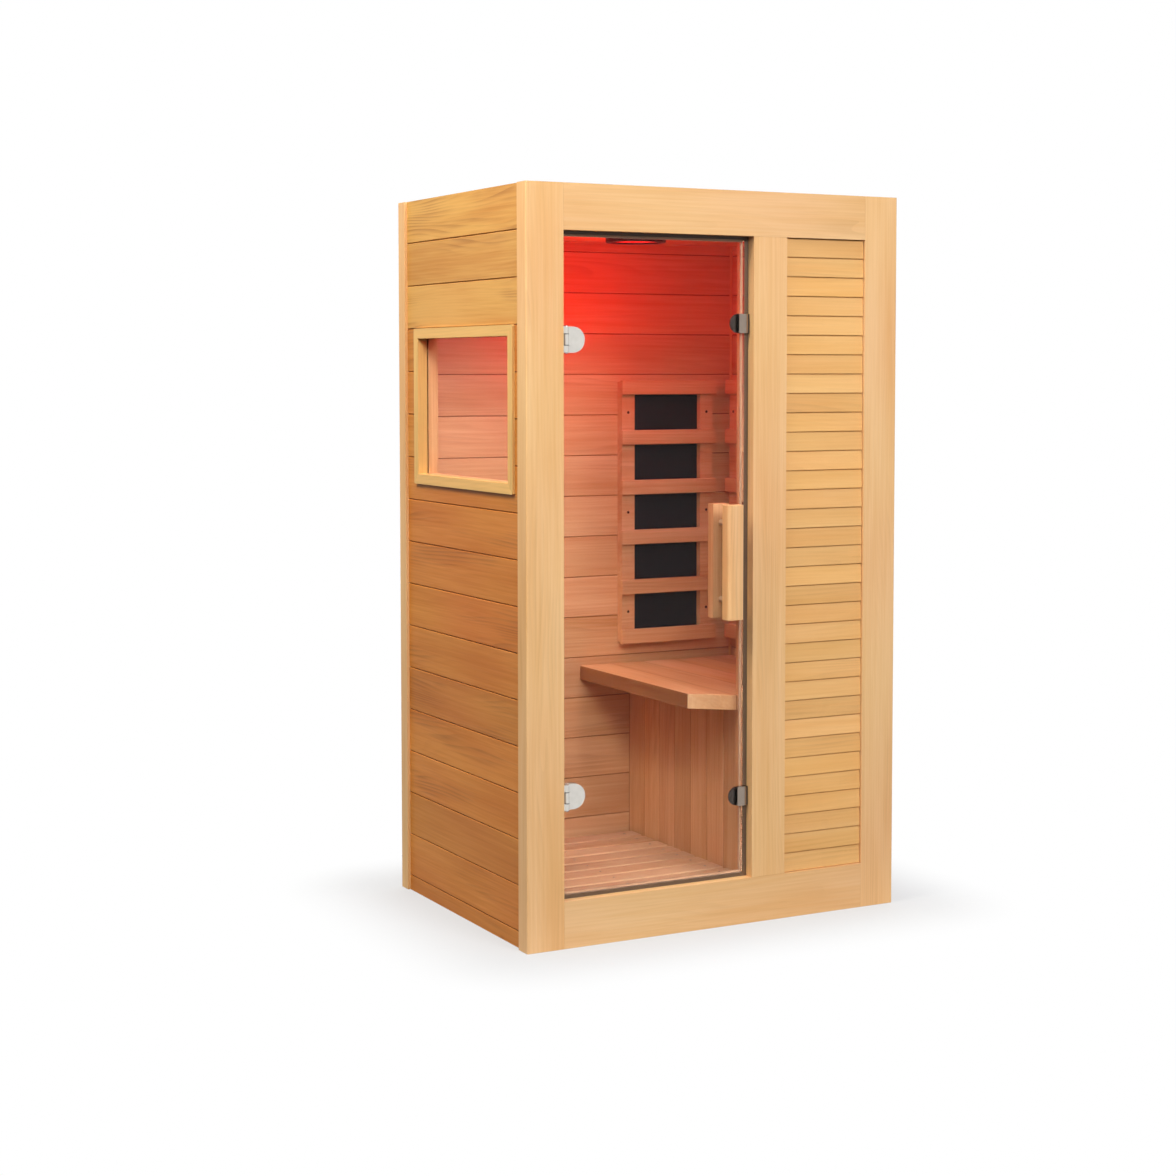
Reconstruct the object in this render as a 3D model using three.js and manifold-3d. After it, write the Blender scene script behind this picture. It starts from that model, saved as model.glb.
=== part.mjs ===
// One-person infrared sauna cabin: timber walls, glass door, corner bench and wall heaters.
// Millimetres. X runs to the right seen from the door, Y from the door to the back, Z up.
// The origin is the middle of the footprint, on the floor.
import * as THREE from "three";
import { mergeVertices } from "three/addons/utils/BufferGeometryUtils.js";
import Module from "manifold-3d";

const wasm = await Module();
wasm.setup();

// Cabin
const CABIN_WIDTH = 1100;
const CABIN_DEPTH = 800;
const CABIN_HEIGHT = 1900;
const FIT_GAP = 0.3; // slip clearance between neighbouring pieces

// Front panel
const FRONT_THICKNESS = 49;
const STILE_WIDTH = 103;
const MID_STILE_WIDTH = 101;
const TOP_RAIL_HEIGHT = 115;
const BOTTOM_RAIL_HEIGHT = 119;
const DOOR_OPENING_WIDTH = 549;
const EDGE_ROUND = 4;

// Louvre beside the door
const LOUVRE_SLATS = 33;
const LOUVRE_RECESS = 5;
const LOUVRE_LEAN = 3;
const LOUVRE_FOOT_SETBACK = 1.5; // small slope under the nose of each slat
const LOUVRE_FOOT_HEIGHT = 2;
const LOUVRE_SHADOW_DEPTH = 5;
const LOUVRE_SHADOW_HEIGHT = 4;
const LOUVRE_BACKING = 8;

// Boarded walls
const WALL_THICKNESS = 45;
const SIDE_RECESS = 8; // side boards sit back from the ends of the front and back panels
const BOARD_THICKNESS = 12;
const BOARD_PITCH = 116.3;
const OUTER_FIRST_JOINT = 42;
const INNER_FIRST_JOINT = 34;
const GROOVE_WIDTH = 5;
const GROOVE_DEPTH = 3;
const STUD_WIDTH = 40;
const BACK_STILE_WIDTH = 60;

// Window in the left wall
const WINDOW_HEIGHT = 366;
const WINDOW_FROM_FRONT = 29; // from the front panel to the casing
const WINDOW_FROM_BACK = 60; // from the back panel to the casing
const WINDOW_BELOW_TOP = 556; // from the top of the walls to the middle of the window
const CASING_FACE = 27;
const CASING_LINER = 10;
const CASING_PROUD = 8;
const WINDOW_PANE = 5;

// Floor
const JOIST_HEIGHT = 60;
const JOIST_WIDTH = 45;
const DECK_THICKNESS = 18;
const SLAT_WIDTH = 63;
const SLAT_PITCH = 76;
const SLAT_THICKNESS = 12;
const SLAT_ROUND = 2.5;
const BEARER_HEIGHT = 8;
const BEARER_WIDTH = 40;

// Roof
const CEILING_DROP = 95; // from the top of the walls to the underside of the ceiling
const ROOF_FRAME_HEIGHT = 42;
const ROOF_FRAME_WIDTH = 45;
const ROOF_COVER_THICKNESS = 12;
const CONTROL_BOX_MARGIN = 24;
const CONTROL_BOX_DEPTH = 200;
const CONTROL_BOX_HEIGHT = 34;
const GLAND_RADIUS = 10;
const GLAND_FLANGE_RADIUS = 15;
const GLAND_RISE = 20;

// Ceiling lamp
const LAMP_LEFT_OF_MIDDLE = 24;
const LAMP_RADIUS = 82;
const LAMP_DROP = 20;
const LAMP_CAN_RADIUS = 60;
const LAMP_CAN_HEIGHT = 34;
const LAMP_RIM = 12;
const LAMP_RIM_ROUND = 3;
const LENS_THICKNESS = 5;

// Door
const GLASS_THICKNESS = 8;
const GLASS_SETBACK = 21; // front face of the glass behind the front panel
const GLASS_GAP_HINGE = 8;
const GLASS_GAP_CATCH = 17;
const GLASS_GAP_TOP = 11;
const GLASS_GAP_BOTTOM = 13;
const SEAL_FACE_SETBACK = 6; // front of the seal behind the front of the glass
const SEAL_CLEARANCE = 3;
const SEAL_OVERLAP = 3;
const SEAL_LIP_SETBACK = 5;
const SEAL_LIP_THICKNESS = 6;
const SEAL_BAND = 6;

// Post behind the middle stile
const POST_WIDTH = 45;
const POST_DEPTH = 37;

// Hinges
const UPPER_HINGE_DROP = 268; // from the top of the doorway to the middle of the hinge
const LOWER_HINGE_RISE = 260; // from the foot of the doorway to the middle of the hinge
const HINGE_HEIGHT = 65;
const HINGE_PLATE_REACH = 56; // from the pin to the tip of the rounded plate
const HINGE_PLATE_THICKNESS = 5;
const HINGE_OFFSET_X = 11;
const HINGE_OFFSET_Y = 8;
const KNUCKLE_RADIUS = 6.5;
const KNUCKLE_MIDDLE_SHARE = 0.43;
const PIN_RADIUS = 3;
const PIN_HEAD_RADIUS = 4.6;
const PIN_HEAD_HEIGHT = 1.6;
const FRAME_LEAF_THICKNESS = 3;
const CLAMP_THICKNESS = 4;
const CLAMP_BOSS_RADIUS = 5;
const GLASS_HOLE_RADIUS = 6;
const BOSS_SPACING = 34;

// Catches
const UPPER_CATCH_DROP = 223;
const LOWER_CATCH_RISE = 213;
const CATCH_HEIGHT = 50;
const CATCH_WIDTH = 27;
const CATCH_PLATE = 3;
const CATCH_NOSE = 22;
const CATCH_PAST_GLASS = 11;
const CATCH_AIR = 1.6;

// Handle
const HANDLE_LENGTH = 296;
const HANDLE_WIDTH = 48;
const HANDLE_DEPTH = 32;
const HANDLE_STANDOFF = 20;
const HANDLE_ROUND = 10;
const HANDLE_BELOW_MIDDLE = 3;
const HANDLE_INSET = 51; // from the free edge of the glass to the middle of the bar
const HANDLE_BOLT_SPACING = 200;
const BOLT_RADIUS = 4;
const BOLT_COLLAR_RADIUS = 8;
const BOLT_GRIP = 20;

// Bench
const BENCH_TOP = 592;
const BENCH_THICKNESS = 40;
const BENCH_PAST_DOORWAY = 114; // how far the seat reaches left of the doorway's right side
const BENCH_CHAMFER = 93;
const BENCH_PANEL_GAP = 3;
const BENCH_BOARD_PITCH = 88;
const CLEAT_HEIGHT = 40;
const CLEAT_THICKNESS = 24;

// Wall heaters
const HEATER_END_MARGIN = 28; // from a side heater to the front and back walls
const HEATER_BETWEEN = 22; // between the two side heaters
const HEATER_PROUD = 40;
const HEATER_ABOVE_BENCH = 58;
const HEATER_RAILS = 6;
const HEATER_RAIL_HEIGHT = 42;
const HEATER_RAIL_PITCH = 144.3;
const HEATER_RAIL_THICKNESS = 14;
const HEATER_RAIL_ROUND = 3;
const HEATER_STILE_WIDTH = 42;
const HEATER_STILE_INSET = 5;
const EMITTER_THICKNESS = 8;
const BACK_HEATER_FROM_SIDE = 234; // from the right wall to the middle of the heater

// Keypad inside, on the lining behind the louvre
const KEYPAD_WIDTH = 150;
const KEYPAD_HEIGHT = 96;
const KEYPAD_DEPTH = 14;
const KEYPAD_BELOW_TOP = 650;
const KEYPAD_ROUND = 8;
const BUTTON_RADIUS = 9;
const BUTTON_CLEARANCE = 0.5;
const BUTTON_PITCH = 34;
const BUTTON_DROP = 22;
const BUTTON_LENGTH = 6;
const BUTTON_PROUD = 2.5;
const BUTTON_WELL = 9;
const DISPLAY_HEIGHT = 30;
const DISPLAY_DEPTH = 1.5;

// Planes shared by several pieces
const HALF_WIDTH = CABIN_WIDTH / 2;
const FRONT_FACE = -CABIN_DEPTH / 2;
const FRONT_INSIDE = FRONT_FACE + FRONT_THICKNESS;
const BACK_FACE = CABIN_DEPTH / 2;
const BACK_INSIDE = BACK_FACE - WALL_THICKNESS;
const SIDE_OUTSIDE = HALF_WIDTH - SIDE_RECESS;
const SIDE_INSIDE = SIDE_OUTSIDE - WALL_THICKNESS;
const DOOR_LEFT = STILE_WIDTH - HALF_WIDTH;
const DOOR_RIGHT = DOOR_LEFT + DOOR_OPENING_WIDTH;
const LOUVRE_LEFT = DOOR_RIGHT + MID_STILE_WIDTH;
const LOUVRE_RIGHT = HALF_WIDTH - STILE_WIDTH;
const OPENING_BOTTOM = BOTTOM_RAIL_HEIGHT;
const OPENING_TOP = CABIN_HEIGHT - TOP_RAIL_HEIGHT;
const INSIDE_X = shrink([-SIDE_INSIDE, SIDE_INSIDE], FIT_GAP);
const INSIDE_Y = shrink([FRONT_INSIDE, BACK_INSIDE], FIT_GAP);
const DECK_TOP = JOIST_HEIGHT + DECK_THICKNESS;
const FLOOR_TOP = DECK_TOP + FIT_GAP + BEARER_HEIGHT + SLAT_THICKNESS;
const CEILING_UNDERSIDE = CABIN_HEIGHT - CEILING_DROP;
const CEILING_TOP = CEILING_UNDERSIDE + BOARD_THICKNESS;
const ROOF_FRAME_BOTTOM = CEILING_TOP + FIT_GAP;
const ROOF_FRAME_TOP = ROOF_FRAME_BOTTOM + ROOF_FRAME_HEIGHT;
const ROOF_COVER_BOTTOM = ROOF_FRAME_TOP + FIT_GAP;
const ROOF_COVER_TOP = ROOF_COVER_BOTTOM + ROOF_COVER_THICKNESS;
const GLASS_FRONT = FRONT_FACE + GLASS_SETBACK;
const GLASS_BACK = GLASS_FRONT + GLASS_THICKNESS;
const GLASS_X = [DOOR_LEFT + GLASS_GAP_HINGE, DOOR_RIGHT - GLASS_GAP_CATCH];
const GLASS_Z = [OPENING_BOTTOM + GLASS_GAP_BOTTOM, OPENING_TOP - GLASS_GAP_TOP];
const HINGE_X = DOOR_LEFT + HINGE_OFFSET_X;
const HINGE_Y = FRONT_FACE + HINGE_OFFSET_Y;
const HINGE_CENTRES = { upper: OPENING_TOP - UPPER_HINGE_DROP, lower: OPENING_BOTTOM + LOWER_HINGE_RISE };
const CATCH_CENTRES = { upper: OPENING_TOP - UPPER_CATCH_DROP, lower: OPENING_BOTTOM + LOWER_CATCH_RISE };
const HANDLE_X = GLASS_X[1] - HANDLE_INSET;
const HANDLE_CENTRE_Z = (OPENING_BOTTOM + OPENING_TOP) / 2 - HANDLE_BELOW_MIDDLE;
const WINDOW_CENTRE_Z = CABIN_HEIGHT - WINDOW_BELOW_TOP;
const WINDOW_CENTRE_Y = (FRONT_INSIDE + WINDOW_FROM_FRONT + BACK_INSIDE - WINDOW_FROM_BACK) / 2;
const WINDOW_WIDTH = BACK_INSIDE - FRONT_INSIDE - WINDOW_FROM_FRONT - WINDOW_FROM_BACK - 2 * CASING_FACE;
const SLAT_COUNT = Math.floor((INSIDE_Y[1] - INSIDE_Y[0]) / SLAT_PITCH);
const HEATER_WIDTH = (BACK_INSIDE - FRONT_INSIDE - 2 * HEATER_END_MARGIN - HEATER_BETWEEN) / 2;
const LAMP_X = -LAMP_LEFT_OF_MIDDLE;
const LAMP_Y = (FRONT_INSIDE + BACK_INSIDE) / 2;
const BENCH_FRONT_X = DOOR_RIGHT - BENCH_PAST_DOORWAY;
const BENCH_PANEL_X = DOOR_RIGHT + POST_WIDTH + BENCH_PANEL_GAP;
const BENCH_UNDERSIDE = BENCH_TOP - BENCH_THICKNESS;
const KEYPAD_CENTRE_Z = CABIN_HEIGHT - KEYPAD_BELOW_TOP;

const FINISH = {
  frontTimber: { color: 0xe6c08a, roughness: 0.5, metalness: 0 },
  boards: { color: 0xd9a866, roughness: 0.5, metalness: 0 },
  hiddenTimber: { color: 0xcdb083, roughness: 0.7, metalness: 0 },
  chrome: { color: 0xd8dade, roughness: 0.15, metalness: 1 },
  steel: { color: 0xa9adb1, roughness: 0.35, metalness: 1 },
  glass: { color: 0xcfd8d6, roughness: 0.05, metalness: 0 },
  blackRubber: { color: 0x1b1816, roughness: 0.8, metalness: 0 },
  emitter: { color: 0x1b191d, roughness: 0.6, metalness: 0 },
  darkPlastic: { color: 0x232021, roughness: 0.45, metalness: 0 },
  greyPlastic: { color: 0x8d9093, roughness: 0.5, metalness: 0 },
  lens: { color: 0xd23a2c, roughness: 0.3, metalness: 0 },
};

function shrink([from, to], by) {
  return [from + by, to - by];
}

function around(centre, width) {
  return [centre - width / 2, centre + width / 2];
}

function ordered(a, b) {
  return a < b ? [a, b] : [b, a];
}

// Outlines: lists of [u, v] points.

function rectangle([u0, u1], [v0, v1]) {
  return [[u0, v0], [u1, v0], [u1, v1], [u0, v1]];
}

function arc(u, v, radius, fromTurn, toTurn, steps) {
  return Array.from({ length: steps + 1 }, (_, i) => {
    const angle = 2 * Math.PI * (fromTurn + ((toTurn - fromTurn) * i) / steps);
    return [u + radius * Math.cos(angle), v + radius * Math.sin(angle)];
  });
}

function circle(u, v, radius, steps = 24) {
  return arc(u, v, radius, 0, 1, steps).slice(0, steps);
}

// A rectangle with chosen corners rounded: lower left, lower right, upper right, upper left.
function roundedRectangle([u0, u1], [v0, v1], radius, corners = [1, 1, 1, 1], steps = 4) {
  const centres = [
    [u0 + radius, v0 + radius, 0.5, [u0, v0]],
    [u1 - radius, v0 + radius, 0.75, [u1, v0]],
    [u1 - radius, v1 - radius, 0, [u1, v1]],
    [u0 + radius, v1 - radius, 0.25, [u0, v1]],
  ];
  return centres.flatMap(([u, v, turn, sharp], i) =>
    corners[i] ? arc(u, v, radius, turn, turn + 0.25, steps) : [sharp],
  );
}

// A plate with one straight side and one half-round side, which points to +u or -u.
function roundNosedPlate(straightU, tipU, vCentre, height, steps = 10) {
  const way = Math.sign(tipU - straightU);
  const radius = Math.min(height / 2, Math.abs(tipU - straightU));
  const nose = arc(0, 0, 1, -0.25, 0.25, steps).map(([c, s]) => [
    tipU - way * radius * (1 - c),
    vCentre + (height / 2) * s,
  ]);
  return [[straightU, vCentre - height / 2], ...nose, [straightU, vCentre + height / 2]];
}

// Boards laid edge to edge with V joints on the face: [along the stack, through the thickness].
function boarding([from, to], face, back, firstJoint, pitch) {
  const inward = Math.sign(back - face);
  const half = GROOVE_WIDTH / 2;
  const outline = [[from, face]];
  for (let joint = firstJoint; joint < to - GROOVE_WIDTH; joint += pitch) {
    if (joint > from + GROOVE_WIDTH) {
      outline.push([joint - half, face], [joint, face + inward * GROOVE_DEPTH], [joint + half, face]);
    }
  }
  outline.push([to, face], [to, back], [from, back]);
  return outline;
}

function swapped(outline) {
  return outline.map(([u, v]) => [v, u]);
}

// Extrusions of outlines along the three axes.

function extruded(outline, length, holes) {
  const points = (list) => list.map(([u, v]) => new THREE.Vector2(u, v));
  const shape = new THREE.Shape(points(outline));
  shape.holes = holes.map((hole) => new THREE.Path(points(hole)));
  return new THREE.ExtrudeGeometry(shape, { depth: length, bevelEnabled: false, steps: 1 });
}

// An outline in (y, z) swept along X.
function alongX(outline, [x0, x1], holes = []) {
  const turn = new THREE.Matrix4().makeBasis(
    new THREE.Vector3(0, 1, 0),
    new THREE.Vector3(0, 0, 1),
    new THREE.Vector3(1, 0, 0),
  );
  return extruded(outline, x1 - x0, holes).applyMatrix4(turn).translate(x0, 0, 0);
}

// An outline in (x, z) swept along Y.
function alongY(outline, [y0, y1], holes = []) {
  return extruded(outline, y1 - y0, holes).rotateX(Math.PI / 2).translate(0, y1, 0);
}

// An outline in (x, y) swept along Z.
function alongZ(outline, [z0, z1], holes = []) {
  return extruded(outline, z1 - z0, holes).translate(0, 0, z0);
}

function block(x, y, [z0, z1]) {
  return alongZ(rectangle(x, y), [z0, z1]);
}

// A profile of [radius, height] points, from the axis out and back to the axis, turned about Y.
function turned(profile, steps = 32) {
  return new THREE.LatheGeometry(profile.map(([r, h]) => new THREE.Vector2(r, h)), steps);
}

// Solids

function solidOf(geometry) {
  const bare = geometry.clone();
  bare.deleteAttribute("normal");
  bare.deleteAttribute("uv");
  const welded = mergeVertices(bare, 1e-4);
  return new wasm.Manifold(
    new wasm.Mesh({
      numProp: 3,
      vertProperties: new Float32Array(welded.attributes.position.array),
      triVerts: new Uint32Array(welded.index.array),
    }),
  );
}

function geometryOf(solid) {
  const mesh = solid.getMesh();
  const geometry = new THREE.BufferGeometry();
  geometry.setAttribute("position", new THREE.BufferAttribute(mesh.vertProperties, 3));
  geometry.setIndex(new THREE.BufferAttribute(mesh.triVerts, 1));
  const flat = geometry.toNonIndexed();
  flat.computeVertexNormals();
  return flat;
}

function join(...geometries) {
  return geometryOf(geometries.map(solidOf).reduce((whole, next) => whole.add(next)));
}

function carve(geometry, ...tools) {
  return geometryOf(tools.map(solidOf).reduce((rest, tool) => rest.subtract(tool), solidOf(geometry)));
}

function piece(name, geometry, finish) {
  const mesh = new THREE.Mesh(geometry, new THREE.MeshStandardMaterial(finish));
  mesh.name = name;
  return mesh;
}

function assembly(name, ...members) {
  const group = new THREE.Group();
  group.name = name;
  group.add(...members.flat());
  return group;
}

// Floor: a deck on joists, with loose slats on bearers over the part you stand on.
function buildFloor() {
  const [xLow, xHigh] = INSIDE_X;
  const [yLow, yHigh] = INSIDE_Y;
  const joistZ = [0, JOIST_HEIGHT];
  const deck = block(INSIDE_X, INSIDE_Y, [JOIST_HEIGHT, DECK_TOP]);
  const lengthways = [
    [xLow, xLow + JOIST_WIDTH],
    around(0, JOIST_WIDTH),
    [xHigh - JOIST_WIDTH, xHigh],
  ].map((x) => block(x, INSIDE_Y, joistZ));
  const crossways = [
    [yLow, yLow + JOIST_WIDTH],
    [yHigh - JOIST_WIDTH, yHigh],
  ].map((y) => block(INSIDE_X, y, joistZ));

  const slatX = shrink([xLow, BENCH_PANEL_X], SEAL_CLEARANCE);
  const stackDepth = (SLAT_COUNT - 1) * SLAT_PITCH + SLAT_WIDTH;
  const firstSlat = (yLow + yHigh - stackDepth) / 2;
  const bearerZ = [DECK_TOP + FIT_GAP, FLOOR_TOP - SLAT_THICKNESS];
  const bearerY = [firstSlat, firstSlat + stackDepth];
  const bearers = [slatX[0] + BEARER_WIDTH, (slatX[0] + slatX[1]) / 2, slatX[1] - BEARER_WIDTH].map((x) =>
    block(around(x, BEARER_WIDTH), bearerY, bearerZ),
  );
  const slats = Array.from({ length: SLAT_COUNT }, (_, i) => {
    const y0 = firstSlat + i * SLAT_PITCH;
    const slatY = [y0, y0 + SLAT_WIDTH];
    const section = roundedRectangle(slatY, [bearerZ[1], FLOOR_TOP], SLAT_ROUND, [0, 0, 1, 1], 2);
    return alongX(section, slatX);
  });
  const postNotch = block(
    [DOOR_RIGHT - SEAL_CLEARANCE, BENCH_PANEL_X],
    [FRONT_INSIDE, FRONT_INSIDE + POST_DEPTH + SEAL_CLEARANCE],
    [DECK_TOP, FLOOR_TOP + 1],
  );
  return assembly(
    "floor",
    piece("floor_base", join(deck, ...lengthways, ...crossways), FINISH.hiddenTimber),
    piece("floor_duckboard", carve(join(...bearers, ...slats), postNotch), FINISH.boards),
  );
}

// The planes inside a wall: outer boards, studs, then the inner boards the studs are glued to.
function wallLayers(outside, inside) {
  const inward = Math.sign(inside - outside);
  return {
    outerBack: outside + inward * BOARD_THICKNESS,
    studFront: outside + inward * (BOARD_THICKNESS + FIT_GAP),
    innerBack: inside - inward * BOARD_THICKNESS,
  };
}

// A side wall; side is -1 on the left and 1 on the right.
function buildSideWall(name, side, opening) {
  const outside = side * SIDE_OUTSIDE;
  const inside = side * SIDE_INSIDE;
  const { outerBack, studFront, innerBack } = wallLayers(outside, inside);
  const height = [0, CABIN_HEIGHT];
  const outerOutline = boarding(height, outside, outerBack, OUTER_FIRST_JOINT, BOARD_PITCH);
  const innerOutline = boarding(height, inside, innerBack, INNER_FIRST_JOINT, BOARD_PITCH);
  const outer = alongY(swapped(outerOutline), INSIDE_Y);
  const inner = alongY(swapped(innerOutline), INSIDE_Y);

  const studX = ordered(studFront, innerBack);
  const [yLow, yHigh] = INSIDE_Y;
  const rails = [[0, STUD_WIDTH], [CABIN_HEIGHT - STUD_WIDTH, CABIN_HEIGHT]];
  const uprights = [[yLow, yLow + STUD_WIDTH], [yHigh - STUD_WIDTH, yHigh]];
  if (opening) {
    rails.push([opening.z[0] - STUD_WIDTH, opening.z[0]], [opening.z[1], opening.z[1] + STUD_WIDTH]);
  } else {
    rails.push(around(CABIN_HEIGHT / 3, STUD_WIDTH), around((2 * CABIN_HEIGHT) / 3, STUD_WIDTH));
  }
  const frame = [
    ...rails.map((z) => block(studX, INSIDE_Y, z)),
    ...uprights.map((y) => block(studX, y, height)),
  ];
  const through = opening ? [block(around(outside, 4 * WALL_THICKNESS), opening.y, opening.z)] : [];
  return [
    piece(`${name}_outer_boards`, carve(outer, ...through), FINISH.boards),
    piece(`${name}_inner_boards`, carve(join(inner, ...frame), ...through), FINISH.boards),
  ];
}

// Window: a pane held between an outer and an inner casing that line the hole in the left wall.
const WINDOW_HOLE = {
  y: around(WINDOW_CENTRE_Y, WINDOW_WIDTH + 2 * (CASING_LINER + FIT_GAP)),
  z: around(WINDOW_CENTRE_Z, WINDOW_HEIGHT + 2 * (CASING_LINER + FIT_GAP)),
};

function buildWindow() {
  const frameOf = (margin) => [
    around(WINDOW_CENTRE_Y, WINDOW_WIDTH + 2 * margin),
    around(WINDOW_CENTRE_Z, WINDOW_HEIGHT + 2 * margin),
  ];
  const daylight = rectangle(...frameOf(0));
  const face = roundedRectangle(...frameOf(CASING_FACE), EDGE_ROUND);
  const liner = rectangle(...frameOf(CASING_LINER));
  const paneFront = -SIDE_OUTSIDE + (WALL_THICKNESS - WINDOW_PANE) / 2;
  const paneX = [paneFront, paneFront + WINDOW_PANE];

  const outerCasing = join(
    alongX(face, [-SIDE_OUTSIDE - CASING_PROUD, -SIDE_OUTSIDE - FIT_GAP], [daylight]),
    alongX(liner, [-SIDE_OUTSIDE - CASING_PROUD / 2, paneX[0] - FIT_GAP], [daylight]),
  );
  const innerCasing = join(
    alongX(face, [-SIDE_INSIDE + FIT_GAP, -SIDE_INSIDE + CASING_PROUD], [daylight]),
    alongX(liner, [paneX[1] + FIT_GAP, -SIDE_INSIDE + CASING_PROUD / 2], [daylight]),
  );
  return assembly(
    "window",
    piece("window_outer_casing", outerCasing, FINISH.frontTimber),
    piece("window_pane", alongX(liner, paneX), FINISH.glass),
    piece("window_inner_casing", innerCasing, FINISH.boards),
  );
}

function buildBackWall() {
  const { outerBack, studFront, innerBack } = wallLayers(BACK_FACE, BACK_INSIDE);
  const height = [0, CABIN_HEIGHT];
  const between = shrink([BACK_STILE_WIDTH - HALF_WIDTH, HALF_WIDTH - BACK_STILE_WIDTH], FIT_GAP);
  const depth = [BACK_INSIDE, BACK_FACE];
  const stile = (x) => alongZ(roundedRectangle(x, depth, EDGE_ROUND, [0, 0, 1, 1]), height);
  const outer = boarding(height, BACK_FACE, outerBack, OUTER_FIRST_JOINT, BOARD_PITCH);
  const inner = boarding(height, BACK_INSIDE, innerBack, INNER_FIRST_JOINT, BOARD_PITCH);
  const studY = ordered(innerBack, studFront);
  const rails = [
    [0, STUD_WIDTH],
    around(CABIN_HEIGHT / 3, STUD_WIDTH),
    around((2 * CABIN_HEIGHT) / 3, STUD_WIDTH),
    [CABIN_HEIGHT - STUD_WIDTH, CABIN_HEIGHT],
  ].map((z) => block(between, studY, z));
  const uprights = [
    [between[0], between[0] + STUD_WIDTH],
    around(0, STUD_WIDTH),
    [between[1] - STUD_WIDTH, between[1]],
  ].map((x) => block(x, studY, height));
  const lining = join(alongX(swapped(inner), between), ...rails, ...uprights);
  return assembly(
    "back_wall",
    piece("back_left_stile", stile([-HALF_WIDTH, BACK_STILE_WIDTH - HALF_WIDTH]), FINISH.frontTimber),
    piece("back_right_stile", stile([HALF_WIDTH - BACK_STILE_WIDTH, HALF_WIDTH]), FINISH.frontTimber),
    piece("back_outer_boards", alongX(swapped(outer), between), FINISH.boards),
    piece("back_inner_boards", lining, FINISH.boards),
  );
}

// Front panel: three stiles and two rails round the doorway and the louvre.
function buildFrontPanel() {
  const depth = [FRONT_FACE, FRONT_INSIDE];
  const height = [0, CABIN_HEIGHT];
  const corner = (x, rounded) => alongZ(roundedRectangle(x, depth, EDGE_ROUND, rounded), height);
  const rail = (z) => block(shrink([DOOR_LEFT, LOUVRE_RIGHT], FIT_GAP), depth, z);
  const openingZ = shrink([OPENING_BOTTOM, OPENING_TOP], FIT_GAP);

  const louvreX = shrink([LOUVRE_LEFT, LOUVRE_RIGHT], FIT_GAP);
  const pitch = (openingZ[1] - openingZ[0]) / LOUVRE_SLATS;
  const proud = FRONT_FACE + LOUVRE_RECESS;
  const lean = proud + LOUVRE_LEAN;
  const shadow = lean + LOUVRE_SHADOW_DEPTH;
  const section = [[shadow + LOUVRE_BACKING, openingZ[0]]];
  for (let i = 0; i < LOUVRE_SLATS; i += 1) {
    const foot = openingZ[0] + i * pitch;
    const head = foot + pitch - LOUVRE_SHADOW_HEIGHT;
    section.push(
      [shadow, foot],
      [proud + LOUVRE_FOOT_SETBACK, foot],
      [proud, foot + LOUVRE_FOOT_HEIGHT],
      [lean, head],
      [shadow, head],
    );
  }
  section.push([shadow, openingZ[1]], [shadow + LOUVRE_BACKING, openingZ[1]]);

  const liningBack = FRONT_INSIDE - BOARD_THICKNESS;
  const lining = boarding(openingZ, FRONT_INSIDE, liningBack, INNER_FIRST_JOINT, BOARD_PITCH);
  const postX = [DOOR_RIGHT, DOOR_RIGHT + POST_WIDTH];
  const postY = [FRONT_INSIDE + FIT_GAP, FRONT_INSIDE + POST_DEPTH];
  const postZ = [DECK_TOP + FIT_GAP, CEILING_UNDERSIDE - FIT_GAP];
  const post = alongZ(roundedRectangle(postX, postY, EDGE_ROUND, [0, 0, 1, 1]), postZ);
  return assembly(
    "front_panel",
    piece("front_left_stile", corner([-HALF_WIDTH, DOOR_LEFT], [1, 0, 0, 0]), FINISH.frontTimber),
    piece("front_mid_stile", block([DOOR_RIGHT, LOUVRE_LEFT], depth, openingZ), FINISH.frontTimber),
    piece("front_right_stile", corner([LOUVRE_RIGHT, HALF_WIDTH], [0, 1, 0, 0]), FINISH.frontTimber),
    piece("front_top_rail", rail([OPENING_TOP, CABIN_HEIGHT]), FINISH.frontTimber),
    piece("front_bottom_rail", rail([0, OPENING_BOTTOM]), FINISH.frontTimber),
    piece("front_louvre", alongX(section, louvreX), FINISH.frontTimber),
    piece("front_inner_boards", alongX(swapped(lining), louvreX), FINISH.boards),
    piece("door_stop_post", post, FINISH.boards),
  );
}

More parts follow.
